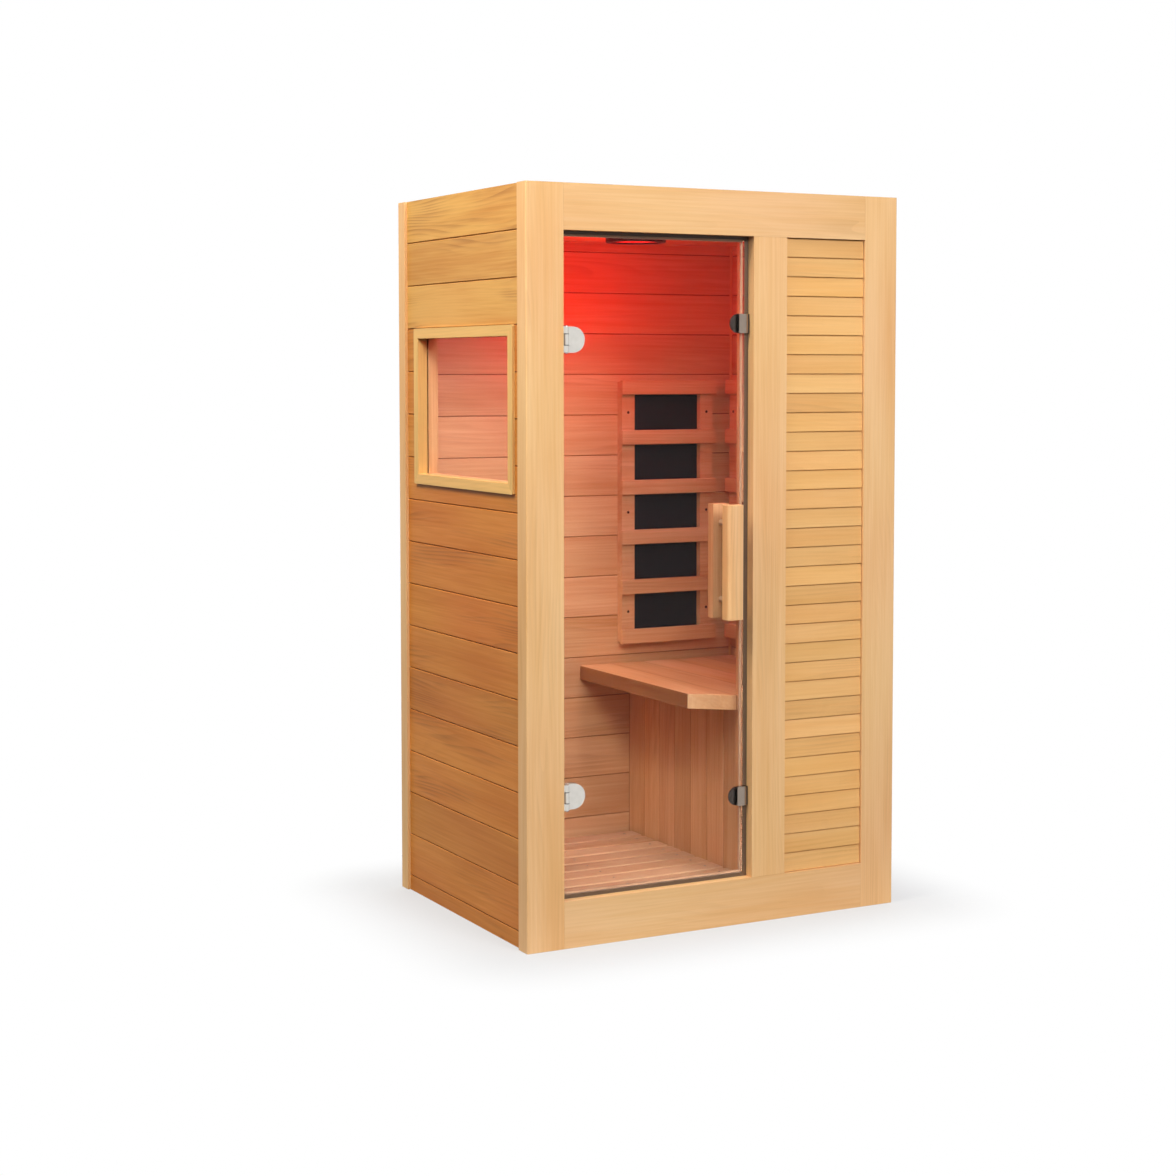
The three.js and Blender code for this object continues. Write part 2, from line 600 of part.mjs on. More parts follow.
function buildRoof() {
  const firstJoint = FRONT_INSIDE + BOARD_PITCH;
  const ceilingOutline = boarding(INSIDE_Y, CEILING_UNDERSIDE, CEILING_TOP, firstJoint, BOARD_PITCH);
  const lampHole = alongZ(
    circle(LAMP_X, LAMP_Y, LAMP_CAN_RADIUS + FIT_GAP, 32),
    [CEILING_UNDERSIDE - 1, CEILING_TOP + 1],
  );
  const ceiling = carve(alongX(ceilingOutline, INSIDE_X), lampHole);

  const bayX = [INSIDE_X[0] + ROOF_FRAME_WIDTH, INSIDE_X[1] - ROOF_FRAME_WIDTH];
  const bayY = [INSIDE_Y[0] + ROOF_FRAME_WIDTH, INSIDE_Y[1] - ROOF_FRAME_WIDTH];
  const joistX = LAMP_X + LAMP_CAN_RADIUS + ROOF_FRAME_WIDTH;
  const bayZ = [ROOF_FRAME_BOTTOM - 1, ROOF_FRAME_TOP + 1];
  const roofFrame = carve(
    block(INSIDE_X, INSIDE_Y, [ROOF_FRAME_BOTTOM, ROOF_FRAME_TOP]),
    block([bayX[0], joistX - ROOF_FRAME_WIDTH / 2], bayY, bayZ),
    block([joistX + ROOF_FRAME_WIDTH / 2, bayX[1]], bayY, bayZ),
  );

  const glandX = bayX[1] - 2 * GLAND_FLANGE_RADIUS;
  const glandY = bayY[1] - 2 * GLAND_FLANGE_RADIUS;
  const cover = alongZ(rectangle(INSIDE_X, INSIDE_Y), [ROOF_COVER_BOTTOM, ROOF_COVER_TOP], [
    circle(glandX, glandY, GLAND_RADIUS + FIT_GAP),
  ]);
  const seat = ROOF_COVER_TOP + FIT_GAP;
  const gland = turned([
    [0, ROOF_COVER_BOTTOM],
    [GLAND_RADIUS, ROOF_COVER_BOTTOM],
    [GLAND_RADIUS, seat],
    [GLAND_FLANGE_RADIUS, seat],
    [GLAND_FLANGE_RADIUS, seat + GLAND_RISE / 3],
    [GLAND_RADIUS, seat + GLAND_RISE / 2],
    [GLAND_RADIUS * 0.7, seat + GLAND_RISE],
    [GLAND_RADIUS * 0.4, seat + GLAND_RISE],
    [GLAND_RADIUS * 0.4, seat],
    [0, seat],
  ]);

  const boxX = shrink([joistX + ROOF_FRAME_WIDTH / 2, bayX[1]], CONTROL_BOX_MARGIN);
  const box = alongZ(
    roundedRectangle(boxX, around(LAMP_Y, CONTROL_BOX_DEPTH), EDGE_ROUND),
    [ROOF_FRAME_BOTTOM, ROOF_FRAME_BOTTOM + CONTROL_BOX_HEIGHT],
  );
  return assembly(
    "roof",
    piece("ceiling_boards", ceiling, FINISH.boards),
    piece("roof_frame", roofFrame, FINISH.hiddenTimber),
    piece("roof_cover", cover, FINISH.hiddenTimber),
    piece("power_inlet_gland", gland.rotateX(Math.PI / 2).translate(glandX, glandY, 0), FINISH.darkPlastic),
    piece("control_box", box, FINISH.greyPlastic),
    buildLamp(),
  );
}

// Round colour-light lamp let into the ceiling: a deep dark rim round a set-back lens.
function buildLamp() {
  const rimFoot = CEILING_UNDERSIDE - LAMP_DROP;
  const rimHead = CEILING_UNDERSIDE - FIT_GAP;
  const canTop = CEILING_UNDERSIDE + LAMP_CAN_HEIGHT;
  const lensRadius = LAMP_RADIUS - LAMP_RIM;
  const lensFoot = rimFoot + LAMP_DROP / 4;
  const lensHead = lensFoot + LENS_THICKNESS;
  const wellTop = lensHead + LAMP_DROP / 4;
  const housing = turned([
    [0, wellTop],
    [lensRadius, wellTop],
    [lensRadius, rimFoot],
    [LAMP_RADIUS - LAMP_RIM_ROUND, rimFoot],
    [LAMP_RADIUS, rimFoot + LAMP_RIM_ROUND],
    [LAMP_RADIUS, rimHead],
    [LAMP_CAN_RADIUS, rimHead],
    [LAMP_CAN_RADIUS, canTop],
    [0, canTop],
  ]);
  const lens = turned([
    [0, lensFoot],
    [lensRadius - FIT_GAP, lensFoot],
    [lensRadius - FIT_GAP, lensHead],
    [0, lensHead],
  ]);
  const hang = (geometry) => geometry.rotateX(Math.PI / 2).translate(LAMP_X, LAMP_Y, 0);
  return assembly(
    "lamp",
    piece("lamp_housing", hang(housing), FINISH.darkPlastic),
    piece("lamp_lens", hang(lens), FINISH.lens),
  );
}

// Black seal round the doorway: a band in the gap beside the glass and a lip behind its edge.
function buildDoorSeal() {
  const lipY = [GLASS_BACK + SEAL_LIP_SETBACK, GLASS_BACK + SEAL_LIP_SETBACK + SEAL_LIP_THICKNESS];
  const openingX = shrink([DOOR_LEFT, DOOR_RIGHT], FIT_GAP);
  const openingZ = shrink([OPENING_BOTTOM, OPENING_TOP], FIT_GAP);
  const outline = rectangle(openingX, openingZ);
  const lip = alongY(outline, lipY, [
    rectangle(shrink(GLASS_X, SEAL_OVERLAP), shrink(GLASS_Z, SEAL_OVERLAP)),
  ]);
  const bandOpening = rectangle(
    [openingX[0] + SEAL_BAND / 4, GLASS_X[1] + SEAL_CLEARANCE],
    shrink(GLASS_Z, -SEAL_CLEARANCE),
  );
  const band = alongY(outline, [GLASS_FRONT + SEAL_FACE_SETBACK, lipY[1]], [bandOpening]);
  const hingeSlots = Object.values(HINGE_CENTRES).map((z) =>
    block(
      [openingX[0] - 1, GLASS_X[0]],
      [GLASS_FRONT - 1, lipY[0]],
      around(z, HINGE_HEIGHT + 2 * SEAL_CLEARANCE),
    ),
  );
  const catchSlots = Object.values(CATCH_CENTRES).map((z) =>
    block(
      [GLASS_X[1] - CATCH_WIDTH, openingX[1] + 1],
      [GLASS_FRONT - 1, lipY[0]],
      around(z, CATCH_HEIGHT + SEAL_CLEARANCE),
    ),
  );
  return piece("door_seal", carve(join(lip, band), ...hingeSlots, ...catchSlots), FINISH.blackRubber);
}

// Places on the glass where a hinge clamp, a catch or the handle passes through it.
const HINGE_BOSS_X = HINGE_X + HINGE_PLATE_REACH / 2;
const HINGE_BOSS_Z = Object.values(HINGE_CENTRES).flatMap((z) => around(z, BOSS_SPACING));
const HANDLE_BOLT_Z = around(HANDLE_CENTRE_Z, HANDLE_BOLT_SPACING);

function buildDoorGlass() {
  const holes = [
    ...HINGE_BOSS_Z.map((z) => circle(HINGE_BOSS_X, z, GLASS_HOLE_RADIUS, 16)),
    ...HANDLE_BOLT_Z.map((z) => circle(HANDLE_X, z, GLASS_HOLE_RADIUS, 16)),
  ];
  const pane = roundedRectangle(GLASS_X, GLASS_Z, EDGE_ROUND);
  return piece("door_glass", alongY(pane, [GLASS_FRONT, GLASS_BACK], holes), FINISH.glass);
}

// One hinge: a leaf screwed to the stile, a leaf on the glass, the clamp behind it and the pin.
function buildHinge(which) {
  const centre = HINGE_CENTRES[which];
  const full = around(centre, HINGE_HEIGHT);
  const middle = around(centre, HINGE_HEIGHT * KNUCKLE_MIDDLE_SHARE);
  const ends = [[full[0], middle[0] - FIT_GAP], [middle[1] + FIT_GAP, full[1]]];
  const bore = alongZ(circle(HINGE_X, HINGE_Y, PIN_RADIUS + FIT_GAP), shrink(full, -1));
  const barrel = (z) => alongZ(circle(HINGE_X, HINGE_Y, KNUCKLE_RADIUS), z);

  const jambX = [DOOR_LEFT + FIT_GAP, DOOR_LEFT + FIT_GAP + FRAME_LEAF_THICKNESS];
  const jambPlate = block(jambX, [HINGE_Y - KNUCKLE_RADIUS / 2, GLASS_BACK], full);
  const arms = ends.map((z) => block([jambX[0], HINGE_X], around(HINGE_Y, KNUCKLE_RADIUS), z));
  const frameLeaf = carve(join(jambPlate, ...arms, ...ends.map(barrel)), bore);

  const plateY = [GLASS_FRONT - FIT_GAP - HINGE_PLATE_THICKNESS, GLASS_FRONT - FIT_GAP];
  const plateStart = HINGE_X + KNUCKLE_RADIUS;
  const plateOutline = roundNosedPlate(plateStart, HINGE_X + HINGE_PLATE_REACH, centre, HINGE_HEIGHT);
  const plate = alongY(plateOutline, plateY);
  const web = block([HINGE_X, plateStart + KNUCKLE_RADIUS], [HINGE_Y, plateY[1]], middle);
  const glassLeaf = carve(join(plate, web, barrel(middle)), bore);

  const clampY = [GLASS_BACK + FIT_GAP, GLASS_BACK + FIT_GAP + CLAMP_THICKNESS];
  const clampPlate = alongY(plateOutline, clampY);
  const bosses = around(centre, BOSS_SPACING).map((z) =>
    alongY(circle(HINGE_BOSS_X, z, CLAMP_BOSS_RADIUS, 16), [GLASS_FRONT, clampY[1]]),
  );

  const headFoot = full[0] - FIT_GAP - PIN_HEAD_HEIGHT;
  const headTop = full[1] + FIT_GAP + PIN_HEAD_HEIGHT;
  const pin = turned(
    [
      [0, headFoot],
      [PIN_HEAD_RADIUS, headFoot],
      [PIN_HEAD_RADIUS, headFoot + PIN_HEAD_HEIGHT],
      [PIN_RADIUS, headFoot + PIN_HEAD_HEIGHT],
      [PIN_RADIUS, headTop - PIN_HEAD_HEIGHT],
      [PIN_HEAD_RADIUS, headTop - PIN_HEAD_HEIGHT],
      [PIN_HEAD_RADIUS, headTop],
      [0, headTop],
    ],
    24,
  );
  return assembly(
    `hinge_${which}`,
    piece(`hinge_${which}_frame_leaf`, frameLeaf, FINISH.chrome),
    piece(`hinge_${which}_glass_leaf`, glassLeaf, FINISH.chrome),
    piece(`hinge_${which}_clamp`, join(clampPlate, ...bosses), FINISH.chrome),
    piece(`hinge_${which}_pin`, pin.rotateX(Math.PI / 2).translate(HINGE_X, HINGE_Y, 0), FINISH.steel),
  );
}

// One catch: a clip on the edge of the glass that a magnet on the stile holds shut.
function buildCatch(which) {
  const centre = CATCH_CENTRES[which];
  const z = around(centre, CATCH_HEIGHT);
  const clipRight = GLASS_X[1] + CATCH_PAST_GLASS;
  const clipLeft = clipRight - CATCH_WIDTH;
  const frontY = [GLASS_FRONT - FIT_GAP - CATCH_PLATE, GLASS_FRONT - FIT_GAP];
  const backY = [GLASS_BACK + FIT_GAP, GLASS_BACK + FIT_GAP + CATCH_PLATE];
  const front = alongY(roundedRectangle([clipLeft, clipRight], z, EDGE_ROUND / 2), frontY);
  const back = alongY(roundNosedPlate(clipRight, clipLeft - CATCH_NOSE, centre, CATCH_HEIGHT), backY);
  const bridgeX = [GLASS_X[1] + FIT_GAP, clipRight];
  const bridge = block(bridgeX, [frontY[0] + 1, backY[1]], shrink(z, EDGE_ROUND / 2));
  const magnetX = [clipRight + CATCH_AIR, DOOR_RIGHT - FIT_GAP];
  const magnet = block(magnetX, [GLASS_FRONT, backY[1]], shrink(z, FIT_GAP));
  return assembly(
    `catch_${which}`,
    piece(`catch_${which}_clip`, join(front, back, bridge), FINISH.chrome),
    piece(`catch_${which}_magnet`, magnet, FINISH.darkPlastic),
  );
}

// Two rounded timber bars, one each side of the glass, on two through bolts with collars.
function buildHandle() {
  const barZ = around(HANDLE_CENTRE_Z, HANDLE_LENGTH);
  const outerFlat = GLASS_FRONT - HANDLE_STANDOFF;
  const innerFlat = GLASS_BACK + HANDLE_STANDOFF;
  const bar = (flat, way) => {
    const outward = way < 0 ? [1, 1, 0, 0] : [0, 0, 1, 1];
    const section = roundedRectangle(
      around(HANDLE_X, HANDLE_WIDTH),
      ordered(flat, flat + way * HANDLE_DEPTH),
      HANDLE_ROUND,
      outward,
      6,
    );
    const sockets = HANDLE_BOLT_Z.map((z) =>
      alongY(
        circle(HANDLE_X, z, BOLT_RADIUS + FIT_GAP, 16),
        ordered(flat - way, flat + way * (BOLT_GRIP + FIT_GAP)),
      ),
    );
    return carve(alongZ(section, barZ), ...sockets);
  };
  const collars = [
    [outerFlat + FIT_GAP, GLASS_FRONT - FIT_GAP],
    [GLASS_BACK + FIT_GAP, innerFlat - FIT_GAP],
  ];
  const bolt = () =>
    turned(
      [
        [0, outerFlat - BOLT_GRIP],
        [BOLT_RADIUS, outerFlat - BOLT_GRIP],
        ...collars.flatMap(([from, to]) => [
          [BOLT_RADIUS, from],
          [BOLT_COLLAR_RADIUS, from],
          [BOLT_COLLAR_RADIUS, to],
          [BOLT_RADIUS, to],
        ]),
        [BOLT_RADIUS, innerFlat + BOLT_GRIP],
        [0, innerFlat + BOLT_GRIP],
      ],
      16,
    );
  const [lowZ, highZ] = HANDLE_BOLT_Z;
  return assembly(
    "handle",
    piece("handle_outer_bar", bar(outerFlat, -1), FINISH.boards),
    piece("handle_inner_bar", bar(innerFlat, 1), FINISH.boards),
    piece("handle_bolt_lower", bolt().translate(HANDLE_X, 0, lowZ), FINISH.steel),
    piece("handle_bolt_upper", bolt().translate(HANDLE_X, 0, highZ), FINISH.steel),
  );
}

// Corner bench: a top with one clipped corner on a boarded panel and two wall cleats.
function buildBench() {
  const [yLow, yHigh] = INSIDE_Y;
  const postLeft = DOOR_RIGHT - FIT_GAP;
  const postRight = DOOR_RIGHT + POST_WIDTH + FIT_GAP;
  const postBack = FRONT_INSIDE + POST_DEPTH + FIT_GAP;
  const outline = [
    [BENCH_FRONT_X, yHigh],
    [BENCH_FRONT_X, yLow + BENCH_CHAMFER],
    [postLeft, yLow],
    [postLeft, postBack],
    [postRight, postBack],
    [postRight, yLow],
    [INSIDE_X[1], yLow],
    [INSIDE_X[1], yHigh],
  ];
  const panelZ = [DECK_TOP + FIT_GAP, BENCH_UNDERSIDE - FIT_GAP];
  const panelBack = BENCH_PANEL_X + BOARD_THICKNESS;
  const panel = boarding(INSIDE_Y, BENCH_PANEL_X, panelBack, yLow + BENCH_BOARD_PITCH, BENCH_BOARD_PITCH);
  const cleatX = [panelBack + FIT_GAP, INSIDE_X[1]];
  const cleatZ = [panelZ[1] - CLEAT_HEIGHT, panelZ[1]];
  return assembly(
    "bench",
    piece("bench_top", alongZ(outline, [BENCH_UNDERSIDE, BENCH_TOP]), FINISH.boards),
    piece("bench_panel", alongZ(swapped(panel), panelZ), FINISH.boards),
    piece("bench_cleat_front", block(cleatX, [yLow, yLow + CLEAT_THICKNESS], cleatZ), FINISH.hiddenTimber),
    piece("bench_cleat_back", block(cleatX, [yHigh - CLEAT_THICKNESS, yHigh], cleatZ), FINISH.hiddenTimber),
  );
}

// One heater, drawn facing -Y with its back on y = 0 and its middle on x = 0.
function buildHeater(name, place) {
  const bottom = BENCH_TOP + HEATER_ABOVE_BENCH;
  const top = bottom + (HEATER_RAILS - 1) * HEATER_RAIL_PITCH + HEATER_RAIL_HEIGHT;
  const railY = [-HEATER_PROUD, HEATER_RAIL_THICKNESS - HEATER_PROUD];
  const stileY = [railY[1] - 1, -FIT_GAP];
  const half = HEATER_WIDTH / 2;
  const rails = Array.from({ length: HEATER_RAILS }, (_, i) => {
    const foot = bottom + i * HEATER_RAIL_PITCH;
    const railZ = [foot, foot + HEATER_RAIL_HEIGHT];
    const section = roundedRectangle(railY, railZ, HEATER_RAIL_ROUND, [1, 0, 0, 1], 2);
    return alongX(section, [-half, half]);
  });
  const stileOut = half - HEATER_STILE_INSET;
  const stiles = [
    [-stileOut, HEATER_STILE_WIDTH - stileOut],
    [stileOut - HEATER_STILE_WIDTH, stileOut],
  ].map((x) => block(x, stileY, shrink([bottom, top], HEATER_STILE_INSET)));
  const emitterX = around(0, 2 * (stileOut - HEATER_STILE_WIDTH - FIT_GAP));
  const emitterY = [-EMITTER_THICKNESS - FIT_GAP, -FIT_GAP];
  const emitter = block(emitterX, emitterY, shrink([bottom, top], HEATER_STILE_INSET));
  return [
    piece(`${name}_grille`, place(join(...rails, ...stiles)), FINISH.boards),
    piece(`${name}_emitter`, place(emitter), FINISH.emitter),
  ];
}

function buildHeaters() {
  const onBack = (geometry) => geometry.translate(SIDE_INSIDE - BACK_HEATER_FROM_SIDE, BACK_INSIDE, 0);
  const onSide = (y) => (geometry) => geometry.rotateZ(-Math.PI / 2).translate(SIDE_INSIDE, y, 0);
  const [front, rear] = around((FRONT_INSIDE + BACK_INSIDE) / 2, HEATER_WIDTH + HEATER_BETWEEN);
  return assembly(
    "heaters",
    buildHeater("heater_back", onBack),
    buildHeater("heater_side_rear", onSide(rear)),
    buildHeater("heater_side_front", onSide(front)),
  );
}

// Keypad: a housing with a recessed display and a row of round push buttons.
function buildKeypad() {
  const centreX = (LOUVRE_LEFT + LOUVRE_RIGHT) / 2;
  const foot = FRONT_INSIDE + FIT_GAP;
  const face = foot + KEYPAD_DEPTH;
  const spanX = around(centreX, KEYPAD_WIDTH);
  const spanZ = around(KEYPAD_CENTRE_Z, KEYPAD_HEIGHT);
  const body = alongY(roundedRectangle(spanX, spanZ, KEYPAD_ROUND), [foot, face]);
  const buttonZ = KEYPAD_CENTRE_Z - BUTTON_DROP;
  const names = ["power", "light", "heat"];
  const columns = names.map((_, i) => centreX + (i - (names.length - 1) / 2) * BUTTON_PITCH);
  const wells = columns.map((x) =>
    alongY(circle(x, buttonZ, BUTTON_RADIUS + BUTTON_CLEARANCE), [face - BUTTON_WELL, face + 1]),
  );
  const displayZ = around(KEYPAD_CENTRE_Z + BUTTON_DROP, DISPLAY_HEIGHT);
  const displayX = around(centreX, names.length * BUTTON_PITCH);
  const display = block(displayX, [face - DISPLAY_DEPTH, face + 1], displayZ);
  const buttonY = [face + BUTTON_PROUD - BUTTON_LENGTH, face + BUTTON_PROUD];
  const button = (x) => alongY(circle(x, buttonZ, BUTTON_RADIUS), buttonY);
  return assembly(
    "keypad",
    piece("keypad_housing", carve(body, ...wells, display), FINISH.darkPlastic),
    names.map((name, i) => piece(`button_${name}`, button(columns[i]), FINISH.greyPlastic)),
  );
}

const group = assembly(
  "infrared_sauna_cabin",
  buildFloor(),
  buildBackWall(),
  assembly("left_wall", buildSideWall("left", -1, WINDOW_HOLE), buildWindow()),
  assembly("right_wall", buildSideWall("right", 1, null)),
  buildFrontPanel(),
  buildRoof(),
  buildDoorSeal(),
  buildDoorGlass(),
  Object.keys(HINGE_CENTRES).map(buildHinge),
  Object.keys(CATCH_CENTRES).map(buildCatch),
  buildHandle(),
  buildBench(),
  buildHeaters(),
  buildKeypad(),
);

export default group;
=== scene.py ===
"""Dresses the one-person infrared sauna cabin: boards, glass, fittings, heaters and a red ceiling glow."""

import logging
import math
from dataclasses import dataclass
from enum import Enum
from functools import cache
from typing import Optional, Sequence

import bmesh
import bpy
from mathutils import Matrix, Vector


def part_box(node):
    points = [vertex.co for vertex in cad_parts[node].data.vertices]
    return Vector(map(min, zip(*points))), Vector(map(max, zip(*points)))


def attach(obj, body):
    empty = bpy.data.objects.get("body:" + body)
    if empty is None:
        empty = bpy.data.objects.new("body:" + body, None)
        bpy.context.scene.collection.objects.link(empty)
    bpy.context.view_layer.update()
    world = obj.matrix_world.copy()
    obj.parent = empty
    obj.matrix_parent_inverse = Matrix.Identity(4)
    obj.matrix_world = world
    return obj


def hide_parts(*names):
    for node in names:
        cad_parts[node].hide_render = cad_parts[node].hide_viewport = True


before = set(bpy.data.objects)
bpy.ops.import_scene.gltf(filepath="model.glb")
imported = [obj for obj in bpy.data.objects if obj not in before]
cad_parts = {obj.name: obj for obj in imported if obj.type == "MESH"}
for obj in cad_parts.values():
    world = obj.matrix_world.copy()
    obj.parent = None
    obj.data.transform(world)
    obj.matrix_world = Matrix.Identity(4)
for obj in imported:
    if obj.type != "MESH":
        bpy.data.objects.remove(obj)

LOG = logging.getLogger("sauna_cabin")
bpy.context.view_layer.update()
CABIN = "cabin"
DOOR = "door"
PAIR = ("upper", "lower")
SIDES = (-1, 1)

Point = tuple[float, float, float]
Colour = tuple[float, float, float]
Shades = tuple[str, str]
Outline = Sequence[tuple[float, float]]
Socket = bpy.types.NodeSocket
Tree = bpy.types.NodeTree
Material = bpy.types.Material
Piece = bpy.types.Object
Shape = bmesh.types.BMesh

UP: Point = (0.0, 0.0, 1.0)
INWARD: Point = (0.0, 1.0, 0.0)
RIGHT: Point = (1.0, 0.0, 0.0)
BLACK: Colour = (0.0, 0.0, 0.0)


class Axis(Enum):
    """The three directions of the cabin's frame."""

    X = 0
    Y = 1
    Z = 2


def mm(*values: float) -> tuple[float, ...]:
    """Millimetres as metres."""
    return tuple(v / 1000.0 for v in values)


def tint(code: str) -> Colour:
    """Linear colour of a six-digit hex code."""
    parts = [int(code[i : i + 2], 16) / 255.0 for i in (0, 2, 4)]
    return tuple(p / 12.92 if p <= 0.04045 else ((p + 0.055) / 1.055) ** 2.4 for p in parts)


def opaque(code: str) -> tuple[float, ...]:
    """Linear colour of a hex code, with full alpha."""
    return (*tint(code), 1.0)


def middle(node: str) -> Point:
    """Middle of a node's box."""
    low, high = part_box(node)
    return tuple((a + b) / 2 for a, b in zip(low, high))


def add_object(name: str, data: bpy.types.ID) -> Piece:
    """Adds an object at the origin to the scene.

    Args:
        name: the object's name.
        data: its mesh, light or camera.

    Returns:
        The object.
    """
    made = bpy.data.objects.new(name, data)
    bpy.context.scene.collection.objects.link(made)
    return made


class Graph:
    """Short calls for filling a node tree."""

    def __init__(self, tree: Tree) -> None:
        """Empties the tree that the nodes go into."""
        self.tree = tree
        tree.nodes.clear()

    def feed(self, target: Socket, value: object) -> None:
        """Links or sets an input.

        Args:
            target: the input.
            value: a socket to link, or a plain value to set.
        """
        if isinstance(value, Socket):
            self.tree.links.new(value, target)
        else:
            target.default_value = value

    def add(self, kind: str, inputs: Optional[dict] = None, **settings: object) -> bpy.types.Node:
        """Adds a node.

        Args:
            kind: the node's type.
            inputs: sockets or plain values for its inputs, by name or number.
            settings: attributes to set on it first.

        Returns:
            The new node.
        """
        node = self.tree.nodes.new(kind)
        for name, value in settings.items():
            setattr(node, name, value)
        for key, value in (inputs or {}).items():
            self.feed(node.inputs[key], value)
        return node

    def math(self, operation: str, *terms: object) -> Socket:
        """Result of a scalar operation on sockets or numbers."""
        return self.add("ShaderNodeMath", dict(enumerate(terms)), operation=operation).outputs[0]

    def vector(self, operation: str, *terms: object) -> Socket:
        """Result of a vector operation on sockets or triples."""
        return self.add("ShaderNodeVectorMath", dict(enumerate(terms)), operation=operation).outputs[0]

    def measure(self, operation: str, *terms: object) -> Socket:
        """Result of a vector operation that gives a number."""
        return self.add("ShaderNodeVectorMath", dict(enumerate(terms)), operation=operation).outputs["Value"]

    def scaled(self, source: Socket, factor: float) -> Socket:
        """A vector or colour times a number."""
        return self.add("ShaderNodeVectorMath", {0: source, "Scale": factor}, operation="SCALE").outputs[0]

    def part(self, place: Socket, axis: Axis) -> Socket:
        """One coordinate of a place."""
        return self.add("ShaderNodeSeparateXYZ", {0: place}).outputs[axis.value]

    def noise(self, place: Socket, scale: float, detail: float = 2.0) -> Socket:
        """Smooth noise between 0 and 1, from its features a metre and its number of finer layers."""
        inputs = {"Vector": place, "Scale": scale, "Detail": detail}
        return self.add("ShaderNodeTexNoise", inputs).outputs["Fac"]

    def spread(self, value: Socket, low: float, high: float) -> Socket:
        """A 0 to 1 value spread between two numbers."""
        limits = {"Value": value, "To Min": low, "To Max": high}
        return self.add("ShaderNodeMapRange", limits).outputs["Result"]

    def fade(self, value: Socket, start: float, end: float) -> Socket:
        """Smooth step from 0 at the start to 1 at the end, whichever is higher."""
        limits = {"Value": value, "From Min": start, "From Max": end}
        return self.add("ShaderNodeMapRange", limits, interpolation_type="SMOOTHSTEP").outputs["Result"]

    def mix(self, factor: Socket, low: object, high: object, kind: str = "RGBA") -> Socket:
        """Blend of two colours, or of two vectors where the kind says so."""
        both = {"Factor": factor, "A": low, "B": high}
        return self.add("ShaderNodeMix", both, data_type=kind).outputs["Result"]

    def ramp(self, value: Socket, *stops: tuple[float, Colour]) -> Socket:
        """Colour between two stops.

        Args:
            value: place along the ramp.
            stops: position and colour of the low and the high stop.

        Returns:
            The colour.
        """
        node = self.add("ShaderNodeValToRGB", {"Fac": value})
        for element, (position, colour) in zip(node.color_ramp.elements, stops):
            element.position = position
            element.color = (*colour, 1.0)
        return node.outputs["Color"]

    def bump(self, height: Socket, strength: float, distance: float) -> Socket:
        """Normal of a surface raised by a height."""
        inputs = {"Height": height, "Strength": strength, "Distance": distance}
        return self.add("ShaderNodeBump", inputs).outputs["Normal"]

    def seen(self) -> Socket:
        """Finds the rays that show the background, straight or by way of glass and metal.

        Returns:
            1 for these rays, and 0 for the rest.
        """
        rays = self.add("ShaderNodeLightPath").outputs
        shown = self.math("MAXIMUM", rays["Is Camera Ray"], rays["Is Glossy Ray"])
        shown = self.math("MAXIMUM", shown, rays["Is Transmission Ray"])
        return self.math("MULTIPLY", shown, self.math("LESS_THAN", rays["Diffuse Depth"], 0.5))


class Surface(Graph):
    """A material with one Principled shader, on object coordinates."""

    DIM_AT = 0.3
    FULL_AT = 0.7

    def __init__(self, name: str) -> None:
        """Starts a material.

        Args:
            name: its name.
        """
        self.material = bpy.data.materials.new(name)
        self.material.use_nodes = True
        super().__init__(self.material.node_tree)
        self.place = self.add("ShaderNodeTexCoord").outputs["Object"]
        self.shader = self.add("ShaderNodeBsdfPrincipled")
        self.output = self.add("ShaderNodeOutputMaterial", {"Surface": self.shader.outputs[0]})

    def dimmed(self, value: Socket, code: str, dim: float) -> Socket:
        """A hex colour that is dimmed by a factor where the value is low."""
        colour = tint(code)
        return self.ramp(value, (self.DIM_AT, tuple(c * dim for c in colour)), (self.FULL_AT, colour))

    def done(self, values: dict[str, object]) -> Material:
        """Feeds the shader.

        Args:
            values: sockets or plain values for its inputs, by name.

        Returns:
            The finished material.
        """
        for name, value in values.items():
            self.feed(self.shader.inputs[name], value)
        return self.material


@dataclass(frozen=True)
class Finish:
    """A named finish, whose material is built on first use."""

    name: str

    def build(self) -> Material:
        """Builds the finish's material."""
        raise NotImplementedError

    @cache
    def material(self) -> Material:
        """The finish's material, the same each time."""
        return self.build()


@dataclass(frozen=True)
class BoardRun:
    """How a sheet is laid up from boards: across which axis, from where, and how wide each is in metres."""

    stack: Axis
    first: float
    pitch: float


@dataclass(frozen=True)
class Timber(Finish):
    """Clear softwood, pale and deep, with growth rings, fine fibres and a tone of its own on each board."""

    grain: Axis
    shades: Shades
    run: Optional[BoardRun] = None
    by_tone: bool = False
    variety: float = 0.08
    rings: float = 0.05
    figure: float = 0.12
    knots: float = 0.0
    mark: str = "8C4F22"
    gloss: float = 0.48
    sheen: float = 0.16
    ring_width: float = 0.011
    mitre: Optional[tuple[Point, Point]] = None
    joint: float = 0.75
    # A paler pair for the upper boards: painted light, the tops of the walls lighter as if lit from above.
    upper: Optional[Shades] = None

    def build(self) -> Material:
        """Builds the timber's material."""
        return TimberSurface(self).finished()


@dataclass(frozen=True)
class Layer:
    """Noise drawn out along the grain: its features a metre across and along it, and its finer layers."""

    across: float
    along: float
    detail: float = 2.0


